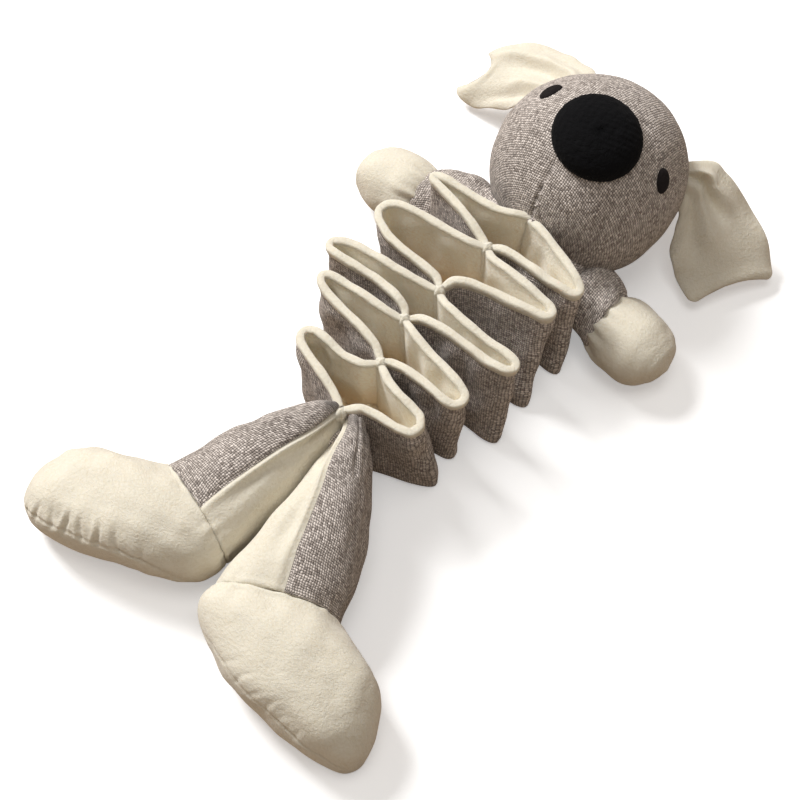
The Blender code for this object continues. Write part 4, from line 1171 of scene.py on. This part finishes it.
# legs in mm from the last centre seam to the ankle:
# place, outer edge, inner edge, lowest, highest, and where the strips' seam lies from the outer edge
LEG_RUNS = {
    "left": (
        (0.00, -5, -75, 5.5, -76, 30, 70.5, 0.80),
        (0.08, -15, -80, 7, -80, 12, 71.5, 0.79),
        (0.22, -27, -94, 8, -93, 4, 71, 0.76),
        (0.45, -41, -113, 8, -113, 1, 68, 0.68),
        (0.70, -49.5, -132, 6.5, -139, 1, 62, 0.60),
        (0.88, -55, -143, 3.5, -156, 1, 57, 0.59),
        (1.00, -58, -149, 0.5, -166, 2, 53, 0.60),
    ),
    "right": (
        (0.00, 20, -72, 5.5, -76, 30, 70.5, 0.90),
        (0.08, 28, -80, 7, -81, 12, 71.5, 0.86),
        (0.22, 39, -94, 8, -94, 4, 71, 0.78),
        (0.45, 52.5, -112, 8, -114, 1, 68, 0.64),
        (0.70, 63.5, -131, 7, -141, 1, 62, 0.54),
        (0.88, 69, -146, 7, -166, 1, 56, 0.48),
        (1.00, 72, -154, 8.5, -182, 2, 52, 0.45),
    ),
}
# feet in mm from the ankle to the toe: place, upper edge, sole's edge, lowest, highest
FOOT_RUNS = {
    "left": (
        (0.00, -58, -149, 0.5, -166, 2, 53),
        (0.07, -60, -150.5, -1, -175, 0.5, 54.5),
        (0.14, -63, -152, -6, -184.5, 0.5, 55.5),
        (0.24, -68, -154, -19, -194.5, 0.5, 56),
        (0.40, -77, -158, -42, -206, 0.5, 55),
        (0.58, -87, -162.5, -66, -215, 0.5, 52),
        (0.74, -98, -168.5, -87, -219, 0.5, 47),
        (0.86, -107, -180, -100, -217.5, 1, 39),
        (0.95, -111.5, -193, -107.5, -212, 4, 28),
        (1.00, -111.5, -201, -110.5, -206, 9, 19),
    ),
    "right": (
        (0.00, 72, -154, 8.5, -182, 2, 52),
        (0.07, 78, -156, 9.5, -191, 0.5, 53.5),
        (0.16, 86, -158, 14, -198.5, 0.5, 54.5),
        (0.28, 95, -161, 28, -207, 0.5, 55),
        (0.44, 105, -165, 50, -215, 0.5, 54),
        (0.60, 113, -171, 72, -218, 0.5, 51),
        (0.75, 119, -180, 92, -218, 0.5, 45),
        (0.88, 123, -191, 107, -215.5, 1, 36),
        (0.96, 124.5, -199, 118, -211, 4, 26),
        (1.00, 124, -203, 122, -207, 9, 18),
    ),
}
# pulled creases above each sole's seam: place along the foot, depth and width in mm, reach up the foot
SOLE_PULLS = (
    (0.30, 1.0, 2.6, 15), (0.38, 1.6, 2.4, 19), (0.455, 2.1, 2.2, 22), (0.53, 1.7, 2.4, 18),
    (0.60, 2.2, 2.2, 20), (0.67, 1.3, 2.6, 15), (0.75, 1.5, 2.4, 13), (0.83, 0.9, 2.6, 10),
)
PULL_STRENGTHS = {"left": 0.7, "right": 0.2}
LIMB_SQUARENESS = 0.84
LEG_LENGTH = 95 * MM
FOOT_LENGTH = 165 * MM


def limb_sections(run, turns):
    """Rows of sections between an outer and an inner edge; turn 0 points to the outer edge."""
    outer, inner, low, high = run[:, 0:2] * MM, run[:, 2:4] * MM, run[:, 4] * MM, run[:, 5] * MM
    centres = np.column_stack(((outer + inner) / 2, (low + high) / 2))
    across = np.column_stack(((outer - inner) / 2, 0 * low))
    return oval_sections(centres, across, UP, np.ones(len(run)), (high - low) / 2, turns, LIMB_SQUARENESS)


def leg_points(side_name, pucker):
    """A leg as rows of sections; columns start at the strips' seam on top and go round the grey side first."""
    side = SIDES[side_name]
    rows, columns = 120, 128
    s = np.linspace(0, 1, rows)[:, None]
    run = smooth_values(LEG_RUNS[side_name], s[:, 0])
    start = np.arccos(np.clip(1 - 2 * run[:, 6:], -0.97, 0.97))
    steps = np.linspace(0, 1, columns // 2, endpoint=False)
    grey = start - (start + math.pi / 2) * steps
    cream = -math.pi / 2 - (1.5 * math.pi - start) * steps
    points = stuffed(limb_sections(run, np.concatenate((grey, cream), 1)), 2.0 * MM)
    step = np.linalg.norm(np.diff(points, axis=1), axis=-1).sum(1, keepdims=True) / columns
    past = np.arange(columns) * step
    before = (columns - np.arange(columns)) * step
    # the fleece strip has a rolled edge beside the seam, and sinks behind it
    depth = -2.0 * MM * bump_line(np.minimum(past, before), 1.0 * MM) * ease(s, 0.0, 0.1)
    depth += 1.3 * MM * bump_line(before - 2.6 * MM, 1.9 * MM) * ease(s, 0.0, 0.08) * (1 - 0.7 * ease(s, 0.85, 1))
    depth -= 2.4 * MM * bump_line(before - 9 * MM, 4.5 * MM) * ease(s, 0.02, 0.2) * (1 - ease(s, 0.6, 0.95))
    rng = np.random.default_rng(60 + side)
    column = np.arange(columns) / columns
    # creases that run down from the root and fade
    for _ in range(11):
        place = rng.uniform(0.08, 0.98)
        reach = rng.uniform(0.3, 1.0)
        width = rng.uniform(0.010, 0.026)
        deep = rng.uniform(0.5, 1.4) * MM
        line = (column - place - 0.03 * np.sin(3 * s + place * 9) + 0.5) % 1 - 0.5
        depth -= deep * bump_line(line, width * (0.5 + s)) * (1 - ease(s, reach * 0.5, reach))
    left = (1 - s) * LEG_LENGTH
    phase = column * 2 * math.pi
    depth += pucker * (0.25 * np.cos(phase * 14 + 0.7) + 0.12 * np.cos(phase * 23)) * bump_line(left, 9 * MM)
    depth -= 0.8 * MM * bump_line(left, 1.0 * MM)
    depth += 0.8 * MM * lumps(points, 15 * MM, 61 + side)
    return on_table(swelled(points, depth))


class PLUSH_OT_legs(bpy.types.Operator):
    """Make the legs of two strips, grey outside and fleece inside, that meet at the last centre seam"""

    bl_idname = "plush.legs"
    bl_label = "Legs"

    def execute(self, context):
        for side_name in SIDES:
            points = leg_points(side_name, context.scene.plush_padding.pucker_depth)
            kinds = np.repeat((0, 1), points.shape[1] // 2)
            leg = cover(f"leg_{side_name}_cover", points, HEATHER, FLEECE, kinds=kinds)
            turn_outward(leg)
            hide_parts(f"leg_{side_name}_outer", f"leg_{side_name}_inner")
            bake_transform(leg)
        return {"FINISHED"}


def foot_points(side_name, pucker):
    """A foot as rows of sections from the ankle round the heel to the toe, with its sole's seam and creases."""
    side = SIDES[side_name]
    s = np.linspace(0, 1, 190)[:, None]
    run = smooth_values(FOOT_RUNS[side_name], s[:, 0])
    turns = full_turn(150, -math.pi / 2)
    points = stuffed(limb_sections(run, turns), 1.6 * MM)
    width = np.linalg.norm(run[:, 0:2] - run[:, 2:4], axis=1, keepdims=True) * MM
    radius = (width / 2 + (run[:, 5:] - run[:, 4:5]) / 2 * MM) / 2
    rise = math.pi - np.radians(24) * ease(s, 0.12, 0.4) + np.radians(14) * (1 - ease(s, 0.08, 0.3))
    rise += np.radians(10) * ease(s, 0.8, 1.0)
    # distance up from the sole's seam over the foot, and down below it
    climb = ((rise - turns + math.pi) % (2 * math.pi) - math.pi) * radius
    depth = -1.1 * MM * bump_line(climb, 0.7 * MM) * ease(s, 0.10, 0.16) * (1 - ease(s, 0.95, 1.0))
    for place, deep, wide, reach in SOLE_PULLS:
        deep, wide = deep * PULL_STRENGTHS[side_name] * MM, wide * 0.8 * MM
        fade = np.where(climb > 0, 1 - ease(climb, reach * 0.3 * MM, reach * MM), bump_line(climb, 3 * MM))
        line = (s - place) * FOOT_LENGTH + 1.2 * MM * np.sin(climb / (5 * MM) + place * 40)
        depth -= deep * bump_line(line, wide) * fade
        depth += deep * 0.45 * bump_line(line - 2.1 * wide, wide) * fade
    depth += 0.9 * MM * lumps(points, 20 * MM, 80 + side) + 0.35 * MM * lumps(points, 8 * MM, 82 + side)
    depth *= ease(s, 0.0, 0.04) * ease(1 - s, 0.0, 0.05)
    beat = 0.5 * np.cos(turns * 17 + 0.4) + 0.25 * np.cos(turns * 26)
    depth += pucker * 0.5 * beat * bump_line(s * FOOT_LENGTH, 8 * MM)
    depth -= 0.8 * MM * bump_line(s * FOOT_LENGTH, 1.0 * MM)
    return on_table(swelled(points, depth))


class PLUSH_OT_feet(bpy.types.Operator):
    """Make the fleece feet, gathered at the ankle, with their sewn soles"""

    bl_idname = "plush.feet"
    bl_label = "Feet"

    def execute(self, context):
        for side_name in SIDES:
            points = foot_points(side_name, context.scene.plush_padding.pucker_depth)
            foot = cover(f"foot_{side_name}_cover", points, FLEECE)
            turn_outward(foot)
            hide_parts(f"foot_{side_name}", f"sole_{side_name}")
            _, upper_x, upper_y, sole_x, sole_y, _, _ = FOOT_RUNS[side_name][0]
            ankle = np.array(((upper_x + sole_x) / 2, (upper_y + sole_y) / 2, 25)) * MM
            way = unit((upper_y - sole_y, sole_x - upper_x, 0))
            way *= -np.sign(way[1])
            start, end = ankle + way * 2 * MM, ankle + way * 26 * MM
            tuple(start)
            tuple(end)
            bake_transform(foot)
        return {"FINISHED"}


# stage

# lamps: place, size, share of the key lamp's power
LAMPS = {"key": ((-2.3, 0.25, 2.5), 1.1, 1), "overhead": ((0.15, -0.1, 2.2), 1.0, 0.09)}
LAMP_AIM = (0, 0, 0.03)
# the floor: how far it reaches, where it starts to rise and how steeply
FLOOR_REACH, BACKDROP_START, BACKDROP_RISE = 3, 1.6, 0.9


def aimed(name, data, place, aim):
    """A camera or lamp that stands at one point and looks at another."""
    thing = bpy.data.objects.new(name, data)
    thing.location = place
    thing.rotation_euler = (Vector(aim) - Vector(place)).to_track_quat("-Z", "Y").to_euler()
    bpy.context.scene.collection.objects.link(thing)
    return thing


class PLUSH_OT_stage(bpy.types.Operator):
    """Make the camera, the pale floor and the soft studio light"""

    bl_idname = "plush.stage"
    bl_label = "Stage"

    def execute(self, context):
        scene, settings = context.scene, context.scene.plush_stage
        camera = bpy.data.cameras.new("photo_camera")
        camera.sensor_width = 36
        camera.lens = camera.sensor_width / 2 / math.tan(settings.view_angle / 2)
        camera.clip_start, camera.clip_end = 0.01, 20
        scene.camera = aimed("photo_camera", camera, settings.camera_place, settings.camera_aim)
        self.add_floor()
        self.add_world(settings.world_strength)
        for name, (place, size, share) in LAMPS.items():
            lamp = bpy.data.lights.new(name, "AREA")
            lamp.size = size
            lamp.energy = settings.key_power * share
            aimed(name, lamp, place, LAMP_AIM)
        scene.view_settings.view_transform = "Standard"
        return {"FINISHED"}

    def add_floor(self):
        """A pale floor that curves up into its backdrop."""
        x = np.linspace(-FLOOR_REACH, FLOOR_REACH, 25)
        y = np.linspace(-FLOOR_REACH, FLOOR_REACH, 41)[:, None]
        z = np.maximum(y - BACKDROP_START, 0) ** 2 * BACKDROP_RISE
        paper = bpy.data.materials.new(PAPER)
        paper.use_nodes = True
        draw = Drawing(paper.node_tree)
        shader = paper.node_tree.nodes["Principled BSDF"]
        shader.inputs["Roughness"].default_value = 0.9
        shader.inputs["Specular IOR Level"].default_value = 0.1
        fibres = draw.node("TexNoise", Scale=300, Detail=2).outputs[0]
        grain = draw.stretch(fibres, 0, 1, 0.90, 0.92)
        colour = draw.node("CombineColor", at_0=grain, at_1=grain, at_2=grain).outputs[0]
        draw.plug(colour, shader.inputs["Base Color"])
        # the camera sees clean bright paper, and the toy gets a warm reflection from it
        glow = draw.node("Emission", Strength=0.36).outputs[0]
        bright = draw.node("AddShader", at_0=shader.outputs[0], at_1=glow).outputs[0]
        warm = draw.node("BsdfDiffuse", Color=(0.44, 0.34, 0.25, 1)).outputs[0]
        seen = draw.node("LightPath").outputs["Is Camera Ray"]
        surface = draw.node("MixShader", at_0=seen, at_1=warm, at_2=bright).outputs[0]
        draw.plug(surface, paper.node_tree.nodes["Material Output"].inputs["Surface"])
        floor = cover("studio_floor", np.stack(np.broadcast_arrays(x, y, z), -1), PAPER, closed=False)

    def add_world(self, strength):
        """Even warm light, in front of a white background."""
        world = bpy.data.worlds.new("studio")
        bpy.context.scene.world = world
        world.use_nodes = True
        draw = Drawing(world.node_tree)
        light = world.node_tree.nodes["Background"]
        light.inputs["Color"].default_value = (1, 0.87, 0.74, 1)
        light.inputs["Strength"].default_value = strength
        white = draw.node("Background", Color=(1, 1, 1, 1), Strength=1)
        seen = draw.node("LightPath").outputs
        shown = draw.calc("MAXIMUM", seen["Is Camera Ray"], seen["Is Glossy Ray"])
        shown = draw.calc("MAXIMUM", shown, seen["Is Transmission Ray"])
        surface = draw.node("MixShader", at_0=shown, at_1=light.outputs[0], at_2=white.outputs[0]).outputs[0]
        draw.plug(surface, world.node_tree.nodes["World Output"].inputs["Surface"])


class PLUSH_PT_toy(bpy.types.Panel):
    """The toy's pieces and their sizes"""

    bl_label = "Plush toy"
    bl_space_type = "VIEW_3D"
    bl_region_type = "UI"
    bl_category = "Plush toy"

    def draw(self, context):
        for maker in MAKERS:
            self.layout.operator(maker.bl_idname)
        for group_name, group in GROUPS.items():
            box = self.layout.box()
            box.label(text=group.__name__)
            for key in group.__annotations__:
                box.prop(getattr(context.scene, group_name), key)


MAKERS = (
    PLUSH_OT_fabrics,
    PLUSH_OT_stage,
    PLUSH_OT_head,
    PLUSH_OT_face,
    PLUSH_OT_ears,
    PLUSH_OT_chest,
    PLUSH_OT_arms,
    PLUSH_OT_walls,
    PLUSH_OT_seams,
    PLUSH_OT_floors,
    PLUSH_OT_hips,
    PLUSH_OT_legs,
    PLUSH_OT_feet,
)
CLASSES = (*GROUPS.values(), *MAKERS, PLUSH_PT_toy)


def register():
    for kind in CLASSES:
        bpy.utils.register_class(kind)
    for name, group in GROUPS.items():
        setattr(bpy.types.Scene, name, bpy.props.PointerProperty(type=group))


def unregister():
    for name in GROUPS:
        delattr(bpy.types.Scene, name)
    for kind in reversed(CLASSES):
        bpy.utils.unregister_class(kind)


def main():
    register()
    bpy.ops.plush.fabrics()
    bpy.ops.plush.stage()
    bpy.ops.plush.head()
    bpy.ops.plush.face()
    bpy.ops.plush.ears()
    bpy.ops.plush.chest()
    bpy.ops.plush.arms()
    bpy.ops.plush.walls()
    bpy.ops.plush.seams()
    bpy.ops.plush.floors()
    bpy.ops.plush.hips()
    bpy.ops.plush.legs()
    bpy.ops.plush.feet()


if __name__ == "__main__":
    main()
